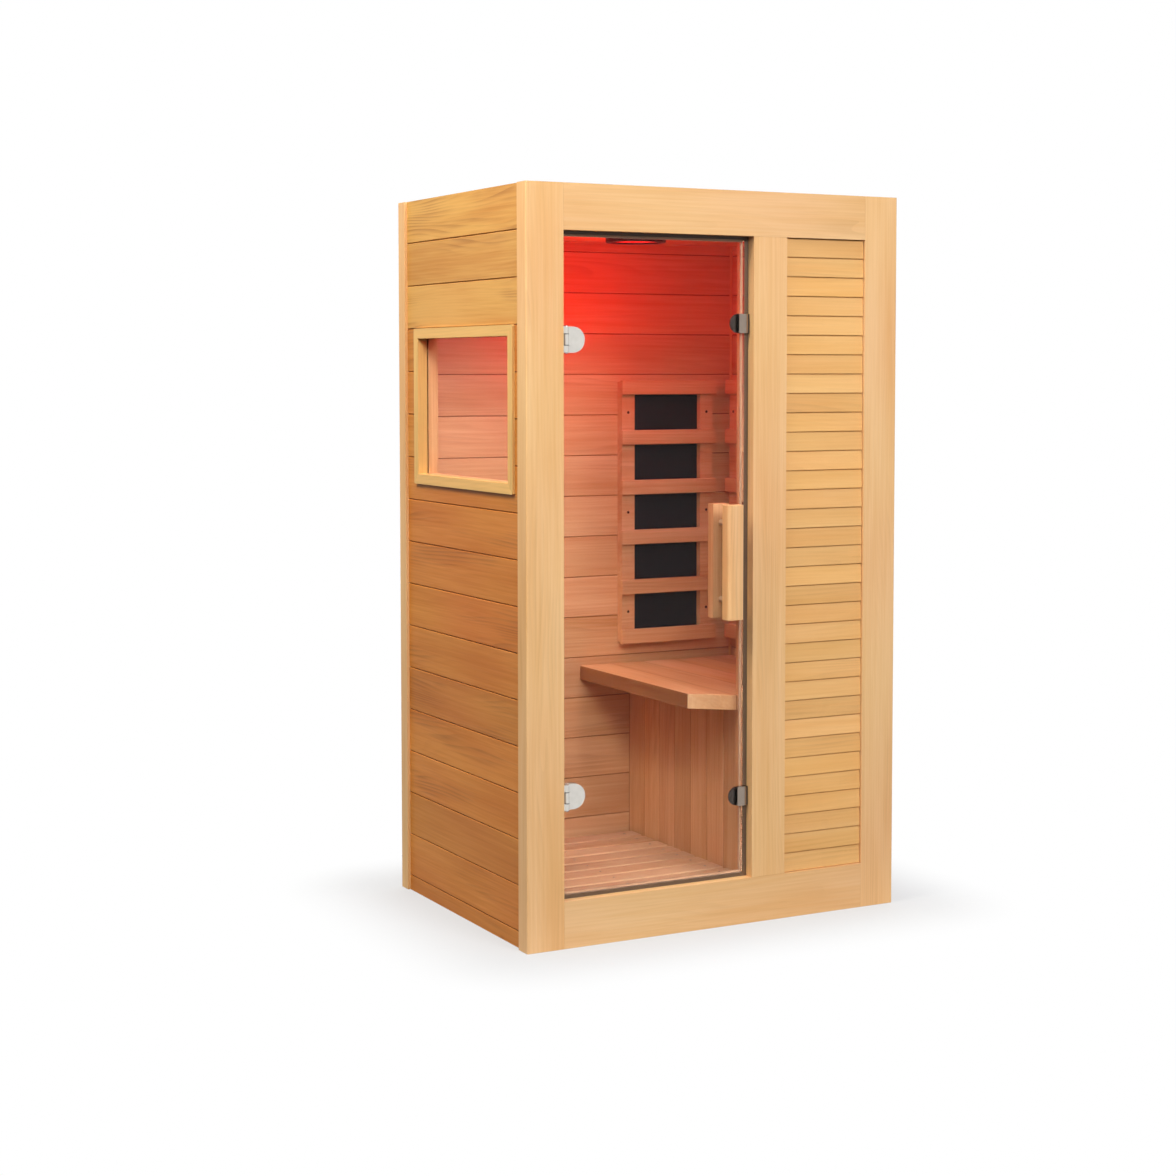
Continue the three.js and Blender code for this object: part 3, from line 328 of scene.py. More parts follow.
class TimberSurface(Surface):
    """The graph of one timber, where the grain of each board comes from a place of its own."""

    BROAD = Layer(9.0, 1.3, 3.0)
    LINES = Layer(150.0, 2.4)
    FIBRE = Layer(620.0, 11.0, 1.0)
    SWIRL = Layer(13.0, 1.7, 3.0)
    WANDER = Layer(7.0, 0.8)
    KNOTS = Layer(6.0, 2.2)
    BROAD_SHARE = 0.66
    LINE_SHARE = 0.34
    DEEP_AT = 0.36
    PALE_AT = 0.62
    BOARD_JUMP = 7.0
    TONE_STEPS = 53.0
    ONE_LOT = 3.0
    RING_SLOPE = 1.0, 0.8, 0.9
    RING_LEAN = 0.03
    RING_WANDER = 0.16
    RING_EDGE = 0.25, 0.97
    RING_RELIEF = 0.5
    KNOT_RAGGED = 40.0, 0.06
    KNOT_EDGE = 0.085, 0.045
    # Heights where the upper boards turn to the paler pair of painted light.
    UPPER_LUCK = 0.5
    UPPER_HEIGHTS = 1.35, 1.9
    SWIRL_EDGE = 0.52, 0.7
    SWIRL_DARK = 0.4
    FIBRE_EDGE = 0.5, 0.75
    FIBRE_DARK = 0.05
    JOINT_EDGE = 0.0019, 0.0006
    MOST_DARK = 0.85
    HUE_SCALE = 2.3
    HUE_RANGE = 0.494, 0.506
    ROUGH_SWING = -0.06, 0.14
    RELIEF = 0.14, 0.0006

    def __init__(self, wood: Timber) -> None:
        """Lays out the boards and what all their looks share.

        Args:
            wood: the timber to draw.
        """
        super().__init__(wood.name)
        self.wood = wood
        if wood.mitre is not None:
            self.place = self._mitred(*wood.mitre)
        chance = self.add("ShaderNodeTexWhiteNoise", {"W": self._lot()}, noise_dimensions="1D")
        self.luck = chance.outputs["Value"]
        self.moved = self.vector("ADD", self.place, self.scaled(chance.outputs["Color"], self.BOARD_JUMP))
        self.fibre = self._noise(self.FIBRE)
        self.late = self._late_wood()

    def _along(self) -> Socket:
        """Number of boards from the first joint, with fractions."""
        offset = self.math("SUBTRACT", self.part(self.place, self.wood.run.stack), self.wood.run.first)
        return self.math("DIVIDE", offset, self.wood.run.pitch)

    def _mitred(self, centre: Point, half: Point) -> Socket:
        """Turns the grain at the corners of a frame round an opening across X.

        Args:
            centre: middle of the opening.
            half: half of its size.

        Returns:
            The turned coordinates.
        """
        out = self.vector("ABSOLUTE", self.vector("SUBTRACT", self.place, centre))
        out = self.vector("SUBTRACT", out, half)
        upright = self.math("GREATER_THAN", self.part(out, Axis.Y), self.part(out, Axis.Z))
        swapped = [self.part(self.place, axis) for axis in (Axis.X, Axis.Z, Axis.Y)]
        turned = self.add("ShaderNodeCombineXYZ", dict(enumerate(swapped)))
        return self.mix(upright, self.place, turned.outputs[0], "VECTOR")

    def _lot(self) -> object:
        """A number that is the same all over one board.

        Returns:
            A socket, or a plain number where the timber isn't laid up from boards.
        """
        if self.wood.by_tone:
            tone = self.add("ShaderNodeAttribute", attribute_name="tone").outputs["Fac"]
            return self.math("MULTIPLY", tone, self.TONE_STEPS)
        if self.wood.run is None:
            return self.ONE_LOT
        return self.math("FLOOR", self._along())

    def _stretched(self, layer: Layer) -> Socket:
        """Coordinates drawn out along the grain."""
        scale = tuple(layer.along if axis is self.wood.grain else layer.across for axis in Axis)
        return self.vector("MULTIPLY", self.moved, scale)

    def _noise(self, layer: Layer) -> Socket:
        """Noise drawn out along the grain."""
        return self.noise(self._stretched(layer), 1.0, layer.detail)

    def _late_wood(self) -> Socket:
        """Draws the dark edge of each growth ring, where the rings wander along the board.

        Returns:
            How dark it is, from 0 to 1.
        """
        slope = list(self.RING_SLOPE)
        slope[self.wood.grain.value] = self.RING_LEAN
        plane = self.measure("DOT_PRODUCT", self.moved, tuple(slope))
        radius = self.math("MULTIPLY_ADD", self._noise(self.WANDER), self.RING_WANDER, plane)
        saw = self.math("FRACT", self.math("DIVIDE", radius, self.wood.ring_width))
        return self.fade(saw, *self.RING_EDGE)

    def _knot(self) -> Socket:
        """Draws small dark knots with a drawn-out edge.

        Returns:
            How dark they are, from 0 to 1.
        """
        scale, share = self.KNOT_RAGGED
        inputs = {"Vector": self._stretched(self.KNOTS), "Scale": 1.0}
        cells = self.add("ShaderNodeTexVoronoi", inputs, feature="F1")
        ragged = self.math("MULTIPLY_ADD", self.noise(self.moved, scale), share, cells.outputs["Distance"])
        return self.fade(ragged, *self.KNOT_EDGE)

    def _between(self, mixed: Socket, shades: Shades) -> Socket:
        """Colour between the deep and the pale one of a pair."""
        pale, deep = shades
        return self.ramp(mixed, (self.DEEP_AT, tint(deep)), (self.PALE_AT, tint(pale)))

    def _clear_wood(self) -> Socket:
        """Colours the clear wood, board by board, changing to another pair of shades above if the timber has
        one. This paints light: the upper boards are paler as if lit from above.

        Returns:
            The colour.
        """
        wood = self.wood
        broad = self.math("MULTIPLY", self._noise(self.BROAD), self.BROAD_SHARE)
        mixed = self.math("MULTIPLY_ADD", self._noise(self.LINES), self.LINE_SHARE, broad)
        colour = self._between(mixed, wood.shades)
        if wood.upper is None:
            return colour
        height = self.math("MULTIPLY_ADD", self._lot(), wood.run.pitch, wood.run.first)
        height = self.math("MULTIPLY_ADD", self.luck, self.UPPER_LUCK, height)
        return self.mix(self.fade(height, *self.UPPER_HEIGHTS), colour, self._between(mixed, wood.upper))

    def _marks(self) -> Socket:
        """Adds up how far rings, swirls, fibres, knots and joints darken the wood.

        Returns:
            The share of the dark mark in the colour.
        """
        wood = self.wood
        swirl = self.fade(self._noise(self.SWIRL), *self.SWIRL_EDGE)
        strong = self.math("MULTIPLY_ADD", swirl, wood.figure, wood.rings)
        dark = self.math("MULTIPLY", swirl, self.SWIRL_DARK * wood.figure)
        dark = self.math("MULTIPLY_ADD", self.late, strong, dark)
        dark = self.math("MULTIPLY_ADD", self.fade(self.fibre, *self.FIBRE_EDGE), self.FIBRE_DARK, dark)
        if wood.knots:
            dark = self.math("MULTIPLY_ADD", self._knot(), wood.knots, dark)
        if wood.run is not None:
            part = self.math("FRACT", self._along())
            edge = self.math("MINIMUM", part, self.math("SUBTRACT", 1.0, part))
            start, end = (width / wood.run.pitch for width in self.JOINT_EDGE)
            dark = self.math("MULTIPLY_ADD", self.fade(edge, start, end), wood.joint, dark)
        return self.math("MINIMUM", dark, self.MOST_DARK)

    def finished(self) -> Material:
        """Joins colour, marks, tone and relief.

        Returns:
            The timber's material.
        """
        wood = self.wood
        toned = {
            "Color": self.mix(self._marks(), self._clear_wood(), opaque(wood.mark)),
            "Value": self.spread(self.luck, 1.0 - wood.variety, 1.0 + wood.variety / 2),
            "Hue": self.spread(self.noise(self.moved, self.HUE_SCALE, 0.0), *self.HUE_RANGE),
        }
        relief = self.math("SUBTRACT", self.fibre, self.math("MULTIPLY", self.late, self.RING_RELIEF))
        return self.done(
            {
                "Base Color": self.add("ShaderNodeHueSaturation", toned).outputs["Color"],
                "Roughness": self.spread(self.fibre, *(wood.gloss + swing for swing in self.ROUGH_SWING)),
                "Specular IOR Level": wood.sheen,
                "Normal": self.bump(relief, *self.RELIEF),
            }
        )


@dataclass(frozen=True)
class Pane(Finish):
    """Clear toughened glass with a faint tint and a coating that cuts reflections."""

    colour: str
    index: float = 1.16
    lets_through: Colour = (0.78, 0.775, 0.765)

    def build(self) -> Material:
        """Builds glass that lets lamp light through.

        Returns:
            The material.
        """
        surface = Surface(self.name)
        shadow = surface.add("ShaderNodeLightPath").outputs["Is Shadow Ray"]
        clear = surface.add("ShaderNodeBsdfTransparent", {"Color": (*self.lets_through, 1.0)})
        ways = {0: shadow, 1: surface.shader.outputs[0], 2: clear.outputs[0]}
        surface.feed(surface.output.inputs["Surface"], surface.add("ShaderNodeMixShader", ways).outputs[0])
        clarity = {"Roughness": 0.0, "IOR": self.index, "Transmission Weight": 1.0}
        return surface.done({"Base Color": opaque(self.colour), **clarity})


@dataclass(frozen=True)
class PaintedLightBehind:
    """Another colour behind a depth along Y, which paints light: painted shade on the part of a catch behind
    the glass, and a painted highlight on the seal's inner lip.
    """

    depth: float
    colour: str

    def over(self, surface: Surface, front: Socket) -> Socket:
        """The front colour joined to the one behind it."""
        far = surface.math("GREATER_THAN", surface.part(surface.place, Axis.Y), self.depth)
        return surface.mix(far, front, opaque(self.colour))


@dataclass(frozen=True)
class Metal(Finish):
    """Polished or brushed metal."""

    colour: str
    rough_low: float
    rough_high: float
    brushed: Optional[Axis] = None
    metal: float = 1.0
    behind: Optional[PaintedLightBehind] = None
    polish: float = 60.0
    brush_across: float = 900.0
    brush_along: float = 12.0
    dim: float = 0.9

    def build(self) -> Material:
        """Builds the metal's material.

        Returns:
            The material.
        """
        surface = Surface(self.name)
        scale = (self.polish, self.polish, self.polish)
        if self.brushed is not None:
            scale = tuple(self.brush_along if axis is self.brushed else self.brush_across for axis in Axis)
        grain = surface.noise(surface.vector("MULTIPLY", surface.place, scale), 1.0)
        base = surface.dimmed(grain, self.colour, self.dim)
        # On the catch this is painted shade: the part behind the glass is darker.
        if self.behind is not None:
            base = self.behind.over(surface, base)
        rough = surface.spread(grain, self.rough_low, self.rough_high)
        return surface.done({"Base Color": base, "Roughness": rough, "Metallic": self.metal})


@dataclass(frozen=True)
class Moulded(Finish):
    """Moulded plastic, rubber or paint with a fine texture."""

    colour: str
    rough: float
    texture: float = 900.0
    relief: float = 0.12
    behind: Optional[PaintedLightBehind] = None
    cloud: float = 14.0
    dim: float = 0.82
    swing: tuple[float, float] = (-0.06, 0.08)
    depth: float = 0.0003

    def build(self) -> Material:
        """Builds the moulded material.

        Returns:
            The material.
        """
        surface = Surface(self.name)
        fine = surface.noise(surface.place, self.texture)
        base = surface.dimmed(surface.noise(surface.place, self.cloud), self.colour, self.dim)
        # On the seal this is a painted highlight: its inner lip is pale.
        if self.behind is not None:
            base = self.behind.over(surface, base)
        rough = surface.spread(fine, *(self.rough + swing for swing in self.swing))
        relief = surface.bump(fine, self.relief, self.depth)
        return surface.done({"Base Color": base, "Roughness": rough, "Normal": relief})


@dataclass(frozen=True)
class CarbonSheet(Finish):
    """Matt black heating film with a faint woven texture."""

    colour: str
    thread: float = 0.0028
    paler: float = 1.5
    cloud: float = 30.0
    share: float = 0.5
    stops: tuple[float, float] = (0.2, 0.9)
    rough: tuple[float, float] = (0.5, 0.62)
    sheen: float = 0.15
    relief: tuple[float, float] = (0.2, 0.0002)

    def build(self) -> Material:
        """Builds the heating film's material.

        Returns:
            The material.
        """
        surface = Surface(self.name)
        weave = {"Vector": surface.place, "Scale": 1.0 / self.thread}
        checks = surface.add("ShaderNodeTexChecker", weave).outputs["Fac"]
        cloud = surface.noise(surface.place, self.cloud)
        soft = surface.math("MULTIPLY_ADD", cloud, self.share, surface.math("MULTIPLY", checks, self.share))
        colour = tint(self.colour)
        pale = tuple(c * self.paler for c in colour)
        return surface.done(
            {
                "Base Color": surface.ramp(soft, *zip(self.stops, (colour, pale))),
                "Roughness": surface.spread(checks, *self.rough),
                "Specular IOR Level": self.sheen,
                "Normal": surface.bump(checks, *self.relief),
            }
        )


@dataclass(frozen=True)
class Glow(Finish):
    """Frosted lens lit from behind, brighter in the middle."""

    colour: str
    centre: Point
    radius: float
    strength: float = 0.35
    rough: float = 0.35
    reach: float = 1.6

    def build(self) -> Material:
        """Builds the lens's material.

        Returns:
            The material.
        """
        surface = Surface(self.name)
        away = surface.measure("DISTANCE", surface.place, self.centre)
        lit = surface.math("SUBTRACT", 1.0, surface.math("DIVIDE", away, self.radius * self.reach))
        return surface.done(
            {
                "Base Color": opaque(self.colour),
                "Roughness": self.rough,
                "Emission Color": opaque(self.colour),
                "Emission Strength": surface.math("MULTIPLY", lit, self.strength),
            }
        )


@dataclass(frozen=True)
class PaleFloor(Finish):
    """Studio floor that is seen as white away from the cabin, with a painted shadow near it. It is seen
    darker towards the footprint whatever the light, and its bluish-grey matt part there also keeps the real
    shadow.
    """

    footprint: tuple[float, float]
    # The painted shadow fades out over the reach, from the near strength at the footprint to white.
    reach: float = 0.36
    shade: Colour = (0.24, 0.247, 0.26)
    near: float = 0.5

    def build(self) -> Material:
        """Builds the floor's material.

        Returns:
            The material.
        """
        material = bpy.data.materials.new(self.name)
        material.use_nodes = True
        graph = Graph(material.node_tree)
        place = graph.add("ShaderNodeTexCoord").outputs["Object"]
        out = graph.vector("SUBTRACT", graph.vector("ABSOLUTE", place), (*self.footprint, 1.0))
        away = graph.measure("LENGTH", graph.vector("MAXIMUM", out, (0.0, 0.0, 0.0)))
        far = graph.fade(away, 0.0, self.reach)
        grey = graph.ramp(far, (0.0, self.shade), (1.0, BLACK))
        matt = graph.add("ShaderNodeBsdfDiffuse", {"Color": grey})
        # Painted shadow: the seen white is only the near strength at the footprint.
        strength = graph.math("MULTIPLY", graph.seen(), graph.spread(far, self.near, 1.0))
        white = graph.add("ShaderNodeEmission", {"Strength": strength})
        both = graph.add("ShaderNodeAddShader", {0: matt.outputs[0], 1: white.outputs[0]})
        graph.add("ShaderNodeOutputMaterial", {"Surface": both.outputs[0]})
        return material


class PieceGroup(Graph):
    """A geometry node group with named inputs."""

    def __init__(self, name: str, **inputs: str) -> None:
        """Starts the group.

        Args:
            name: its name.
            inputs: kind of each input besides the geometry.
        """
        super().__init__(bpy.data.node_groups.new(name, "GeometryNodeTree"))
        sockets = self.tree.interface
        for label, kind in {"Geometry": "Geometry", **inputs}.items():
            sockets.new_socket(label, in_out="INPUT", socket_type=f"NodeSocket{kind}")
        sockets.new_socket("Geometry", in_out="OUTPUT", socket_type="NodeSocketGeometry")
        self.source = self.add("NodeGroupInput").outputs
        self.target = self.add("NodeGroupOutput")

    def end(self, geometry: Socket) -> Tree:
        """The finished group, which hands out a geometry."""
        self.feed(self.target.inputs[0], geometry)
        return self.tree

    def end_painted(self, copies: Socket) -> Tree:
        """Makes copies real, gives them the finish and hands them out.

        Args:
            copies: the copies.

        Returns:
            The finished group.
        """
        real = self.add("GeometryNodeRealizeInstances", {"Geometry": copies})
        paint = {"Geometry": real.outputs["Geometry"], "Material": self.source["Finish"]}
        return self.end(self.add("GeometryNodeSetMaterial", paint).outputs["Geometry"])


SMOOTH_ANGLE = math.radians(32.0)
HEAD_SIDES = 20
HEAD_TOP = 0.72
DRIVE_SIDES = 6
DRIVE_WIDTH = 0.42
DRIVE_DEPTH = 1.2


@cache
def smooth_group() -> Tree:
    """Node group that shades faces smooth and keeps edges sharper than its angle.

    Returns:
        The group, built once.
    """
    group = PieceGroup("shade_by_angle", Angle="Float")
    group.tree.interface.items_tree["Angle"].default_value = SMOOTH_ANGLE
    faces = group.add("GeometryNodeSetShadeSmooth", {"Geometry": group.source["Geometry"]}, domain="FACE")
    turn = group.add("GeometryNodeInputMeshEdgeAngle").outputs["Unsigned Angle"]
    limits = {"A": turn, "B": group.source["Angle"]}
    flat = group.add("FunctionNodeCompare", limits, data_type="FLOAT", operation="LESS_EQUAL")
    inputs = {"Geometry": faces.outputs["Geometry"], "Shade Smooth": flat.outputs["Result"]}
    return group.end(group.add("GeometryNodeSetShadeSmooth", inputs, domain="EDGE").outputs["Geometry"])


@cache
def row_group() -> Tree:
    """Node group that repeats a piece at equal steps and gives each copy a tone of its own.

    Returns:
        The group, built once.
    """
    group = PieceGroup("row_of_pieces", Count="Int", Step="Vector", Seed="Int", Finish="Material")
    steps = {"Count": group.source["Count"], "Offset": group.source["Step"]}
    line = group.add("GeometryNodeMeshLine", steps, mode="OFFSET")
    spots = {"Points": line.outputs["Mesh"], "Instance": group.source["Geometry"]}
    copies = group.add("GeometryNodeInstanceOnPoints", spots)
    chance = group.add("FunctionNodeRandomValue", {"Seed": group.source["Seed"]}, data_type="FLOAT")
    tones = {"Geometry": copies.outputs["Instances"], "Name": "tone", "Value": chance.outputs["Value"]}
    store = group.add("GeometryNodeStoreNamedAttribute", tones, domain="INSTANCE", data_type="FLOAT")
    return group.end_painted(store.outputs["Geometry"])


@cache
def screw_group() -> Tree:
    """Node group that sets socket-head screws on points, each facing its own way.

    Returns:
        The group, built once.
    """
    group = PieceGroup("screw_heads", Radius="Float", Rise="Float", Finish="Material")
    radius = group.source["Radius"]
    rise = group.source["Rise"]
    top = group.math("MULTIPLY", radius, HEAD_TOP)
    cone = {"Vertices": HEAD_SIDES, "Radius Bottom": radius, "Radius Top": top, "Depth": rise}
    head = group.add("GeometryNodeMeshCone", cone)
    across = group.math("MULTIPLY", radius, DRIVE_WIDTH)
    deep = group.math("MULTIPLY", rise, DRIVE_DEPTH)
    drive = group.add("GeometryNodeMeshCylinder", {"Vertices": DRIVE_SIDES, "Radius": across, "Depth": deep})
    place = group.add("ShaderNodeCombineXYZ", {"Z": rise}).outputs[0]
    lift = group.add("GeometryNodeTransform", {"Geometry": drive.outputs["Mesh"], "Translation": place})
    both = {"Mesh 1": head.outputs["Mesh"], "Mesh 2": lift.outputs["Geometry"]}
    cut = group.add("GeometryNodeMeshBoolean", both, operation="DIFFERENCE")
    facing = group.add("GeometryNodeInputNamedAttribute", {"Name": "facing"}, data_type="FLOAT_VECTOR")
    turn = group.add("FunctionNodeAlignRotationToVector", {"Vector": facing.outputs["Attribute"]}, axis="Z")
    spots = {"Points": group.source["Geometry"], "Instance": cut.outputs["Mesh"]}
    copies = group.add("GeometryNodeInstanceOnPoints", {**spots, "Rotation": turn.outputs["Rotation"]})
    return group.end_painted(copies.outputs["Instances"])


SEAM = 2e-5
SAME_PLACE = 1e-6
FLAT_ANGLE = math.radians(0.8)
EDGE_ANGLE = math.radians(35.0)
EDGE_STEPS = 2


class Edge(Enum):
    """How far the edges of a carried-over solid are eased, in millimetres."""

    KEEN = 0.0
    FINE = 0.5
    EASED = 1.2
    ROUND = 2.2


class Screw(Enum):
    """Head radius and rise of each kind of screw, in millimetres."""

    FLOOR = (3.6, 0.8)
    ROOF = (4.5, 1.2)
    CLAMP = (4.8, 1.6)
    JAMB = (3.8, 1.2)
    HEATER = (4.0, 1.2)


def soften(piece: Piece, edge: Edge, hold: bool) -> None:
    """Eases a solid's edges with live modifiers.

    Args:
        piece: a carried-over solid.
        edge: how far the edges go back.
        hold: whether the shortest edge may hold the easing back on the whole piece.
    """
    weld = piece.modifiers.new("seams", "WELD")
    weld.merge_threshold = SEAM
    flats = piece.modifiers.new("flats", "DECIMATE")
    flats.decimate_type = "DISSOLVE"
    flats.angle_limit = FLAT_ANGLE
    if edge is not Edge.KEEN:
        bevel = piece.modifiers.new("edges", "BEVEL")
        bevel.width = edge.value / 1000.0
        bevel.segments = EDGE_STEPS
        bevel.use_clamp_overlap = hold
        bevel.limit_method = "ANGLE"
        bevel.angle_limit = EDGE_ANGLE
    shading = piece.modifiers.new("shading", "NODES")
    shading.node_group = smooth_group()
    flow = piece.modifiers.new("flow", "WEIGHTED_NORMAL")
    flow.keep_sharp = True


def dress(names: Sequence[str], finish: Finish, edge: Optional[Edge] = None, hold: bool = True) -> None:
    """Gives carried-over solids a finish.

    Args:
        names: node names.
        finish: the finish.
        edge: how far to ease their edges, or None to leave them as they are.
        hold: whether a solid's shortest edge may hold its easing back.
    """
    for name in names:
        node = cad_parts[name]
        if not node.material_slots:
            node.data.materials.append(None)
        for slot in node.material_slots:
            slot.link = "OBJECT"
            slot.material = finish.material()
        if edge is not None:
            soften(node, edge, hold)
        LOG.info("dressed %s as %s", name, finish.name)


def settle(piece: Piece, body: str, replaces: Sequence[str] = ()) -> None:
    """Hands a finished piece to the frame.

    Args:
        piece: the finished piece, at the origin.
        body: the body it moves with.
        replaces: nodes that it stands for.
    """
    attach(piece, body)
    if replaces:
        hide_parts(*replaces)
    LOG.info("made %s with %d faces", piece.name, len(piece.data.polygons))


def piece_from(name: str, shape: Shape, finish: Finish) -> Piece:
    """Turns a bmesh into an object at the origin.

    Args:
        name: the object's name.
        shape: its mesh, which is freed.
        finish: its finish.

    Returns:
        The object.
    """
    bmesh.ops.remove_doubles(shape, verts=shape.verts, dist=SAME_PLACE)
    bmesh.ops.recalc_face_normals(shape, faces=shape.faces)
    mesh = bpy.data.meshes.new(name)
    shape.to_mesh(mesh)
    shape.free()
    mesh.materials.append(finish.material())
    return add_object(name, mesh)


def bridge(shape: Shape, near: list[bmesh.types.BMVert], far: list[bmesh.types.BMVert]) -> None:
    """Joins two loops of equal length with faces.

    Args:
        shape: the mesh that they are in.
        near: the first loop.
        far: the second loop.
    """
    for i in range(len(near)):
        j = (i + 1) % len(near)
        shape.faces.new((near[i], near[j], far[j], far[i]))


def swept(outline: Outline, across: Axis, start: float, end: float) -> Shape:
    """Sweeps a closed outline along an axis.

    Args:
        outline: points on the other two axes, in their order, in metres.
        across: the axis to sweep along.
        start: where the sweep begins.
        end: where it ends.

    Returns:
        The closed shape.
    """
    shape = bmesh.new()
    loops = []
    for along in (start, end):
        points = [list(point) for point in outline]
        for point in points:
            point.insert(across.value, along)
        loops.append([shape.verts.new(point) for point in points])
    for loop in loops:
        shape.faces.new(loop)
    bridge(shape, *loops)
    return shape


def run_group(name: str, carrier: Piece, tree: Tree, values: dict[str, object]) -> Piece:
    """Runs a node group on an object and keeps the result as a plain mesh.

    Args:
        name: name of the finished piece.
        carrier: the object the group runs on, which is removed.
        tree: the node group.
        values: its inputs by name.

    Returns:
        The finished object.
    """
    modifier = carrier.modifiers.new(name, "NODES")
    modifier.node_group = tree
    sockets = {s.name: s.identifier for s in tree.interface.items_tree if s.in_out == "INPUT"}
    for key, value in values.items():
        modifier[sockets[key]] = value
    carrier.update_tag()
    bpy.context.view_layer.update()
    graph = bpy.context.evaluated_depsgraph_get()
    mesh = bpy.data.meshes.new_from_object(
        carrier.evaluated_get(graph), preserve_all_data_layers=True, depsgraph=graph
    )
    mesh.name = name
    bpy.data.objects.remove(carrier)
    return add_object(name, mesh)


def screw_heads(name: str, kind: Screw, places: Sequence[tuple[Point, Point]], finish: Finish) -> Piece:
    """Makes a set of screw heads.

    Args:
        name: name of the set.
        kind: which screws they are.
        places: where each head sits and which way it faces.
        finish: their finish.

    Returns:
        One plain mesh object.
    """
    mesh = bpy.data.meshes.new(name + "_points")
    mesh.from_pydata([p for p, _ in places], [], [])
    facing = mesh.attributes.new("facing", "FLOAT_VECTOR", "POINT")
    for item, (_, way) in zip(facing.data, places):
        item.vector = way
    carrier = add_object(name + "_points", mesh)
    radius, rise = mm(*kind.value)
    values = {"Radius": radius, "Rise": rise, "Finish": finish.material()}
    return run_group(name, carrier, screw_group(), values)


BOARD_PITCH = 0.1163
OUTER_RUN = BoardRun(Axis.Z, 0.042, BOARD_PITCH)
INNER_RUN = BoardRun(Axis.Z, 0.034, BOARD_PITCH)
CEILING_RUN = BoardRun(Axis.Y, -0.351, BOARD_PITCH)
SEAT_RUN = BoardRun(Axis.X, -0.012, 0.1018)
BENCH_SIDE_RUN = BoardRun(Axis.Y, -0.3507, 0.088)

FRONT: Shades = ("F2C692", "E8B47A")
LEVEL: Shades = ("EEC28F", "E4B077")
LOUVRE: Shades = ("F2C080", "E8AF6B")
SIDE: Shades = ("DE9144", "C9772E")
# Paler shades for the upper wall boards: painted light, as if lit from above.
SIDE_TOP_PAINTED_LIGHT: Shades = ("DEAA5E", "C98B42")
CASING: Shades = ("F2C27A", "DEB36E")
INNER: Shades = ("E5B58A", "D39A6A")
FLOOR: Shades = ("E2B995", "D3A07A")
PLAIN: Shades = ("DDBE92", "BF9661")
SHEET: Shades = ("CDAE83", "B89160")

CHROME = Metal("chrome", "DEDAD3", 0.08, 0.2, metal=0.6)
# The part of the catch behind the glass is painted darker: painted shade.
CATCH_METAL = Metal("catch_metal", "97897D", 0.12, 0.24, metal=0.8, behind=PaintedLightBehind(-0.3717, "4A3F3A"))
PIN_STEEL = Metal("pin_steel", "B4B7BA", 0.2, 0.34, Axis.Z)
BOLT_METAL = Metal("bolt_metal", "E0BC9C", 0.25, 0.4, metal=0.4)
# Screws of the heaters: real screws, painted dark to stand for the shade in their holes.
SCREW_PAINTED_SHADE = Metal("bronzed_screw", "4A3A30", 0.3, 0.45)
# The seal's inner lip is painted pale: a painted highlight standing for the lit edge of the glass.
SEAL = Moulded("seal_rubber", "64503F", 0.5, 700.0, 0.2, behind=PaintedLightBehind(-0.3665, "C79B7C"))
DARK_CASE = Moulded("dark_case", "2A2728", 0.42)
GREY_CASE = Moulded("grey_paint", "9A9C9E", 0.45)
BUTTON = Moulded("button_cap", "B5B7B8", 0.4)
DISPLAY = Moulded("display_glass", "101418", 0.08, 300.0, 0.0)
EMITTER = CarbonSheet("heating_film", "1A191E")
DOOR_GLASS = Pane("door_glass", "F4F6F5")
WINDOW_GLASS = Pane("window_glass", "F2F5F4", 1.07)


class SubAssembly:
    """Part of the cabin that is finished, and may get pieces of its own. Sizes are in metres."""

    def dress(self) -> None:
        """Finishes the carried-over solids."""
        raise NotImplementedError

    def build(self) -> None:
        """Makes no piece, unless a sub-assembly says otherwise."""


@dataclass
class FrontPanel(SubAssembly):
    """Stiles, rails and louvre of the front."""

    slats: int = 33
    tone_seed: int = 4
    low: float = 0.1193
    high: float = 1.7847
    left: float = 0.2033
    right: float = 0.4455
    proud: float = -0.395
    lean: float = 0.003
    gap: float = 0.0013
    back: float = -0.379
    board: float = 0.0115
    clearance: float = 0.0002
    foot_round: Outline = ((0.0016, 0.0), (0.0005, 0.0006), (0.0, 0.002))
    head_round: Outline = ((-0.0006, -0.0014), (0.0, -0.0004), (0.001, 0.0))

    def dress(self) -> None:
        """Finishes the carried-over stiles and rails."""
        calm = {"variety": 0.0, "rings": 0.03, "figure": 0.07}
        upright = Timber("front_upright", Axis.Z, FRONT, **calm)
        dress([f"front_{which}_stile" for which in ("left", "mid", "right")], upright, Edge.KEEN)
        level = Timber("front_level", Axis.X, LEVEL, **calm)
        dress(["front_top_rail", "front_bottom_rail"], level, Edge.KEEN)
        dress(["back_left_stile", "back_right_stile"], upright, Edge.EASED)
        dress(["front_inner_boards"], Timber("front_lining", Axis.X, INNER, INNER_RUN))
        dress(["door_stop_post"], Timber("stop_post", Axis.Z, INNER), Edge.EASED)

    def build(self) -> None:
        """Makes the louvre's slats and the board behind them."""
        finish = Timber("louvre_slat", Axis.X, LOUVRE, by_tone=True, variety=0.1, rings=0.03)
        pitch = (self.high - self.low) / self.slats
        foot, head = self.low + self.gap / 2, self.low + pitch - self.gap / 2
        back = self.back - self.board
        top = self.proud + self.lean
        section = [(back, foot)]
        section += [(self.proud + y, foot + z) for y, z in self.foot_round]
        section += [(top + y, head + z) for y, z in self.head_round]
        section += [(back, head)]
        first = piece_from("louvre_slat", swept(section, Axis.X, self.left, self.right), finish)
        step = (0.0, 0.0, pitch)
        values = {"Count": self.slats, "Step": step, "Seed": self.tone_seed, "Finish": finish.material()}
        row = run_group("louvre_slats", first, row_group(), values)
        settle(row, CABIN, ["front_louvre"])
        face = back + self.clearance
        board = [(face, self.low), (self.back, self.low), (self.back, self.high), (face, self.high)]
        backing = piece_from("louvre_back", swept(board, Axis.X, self.left, self.right), finish)
        settle(backing, CABIN)


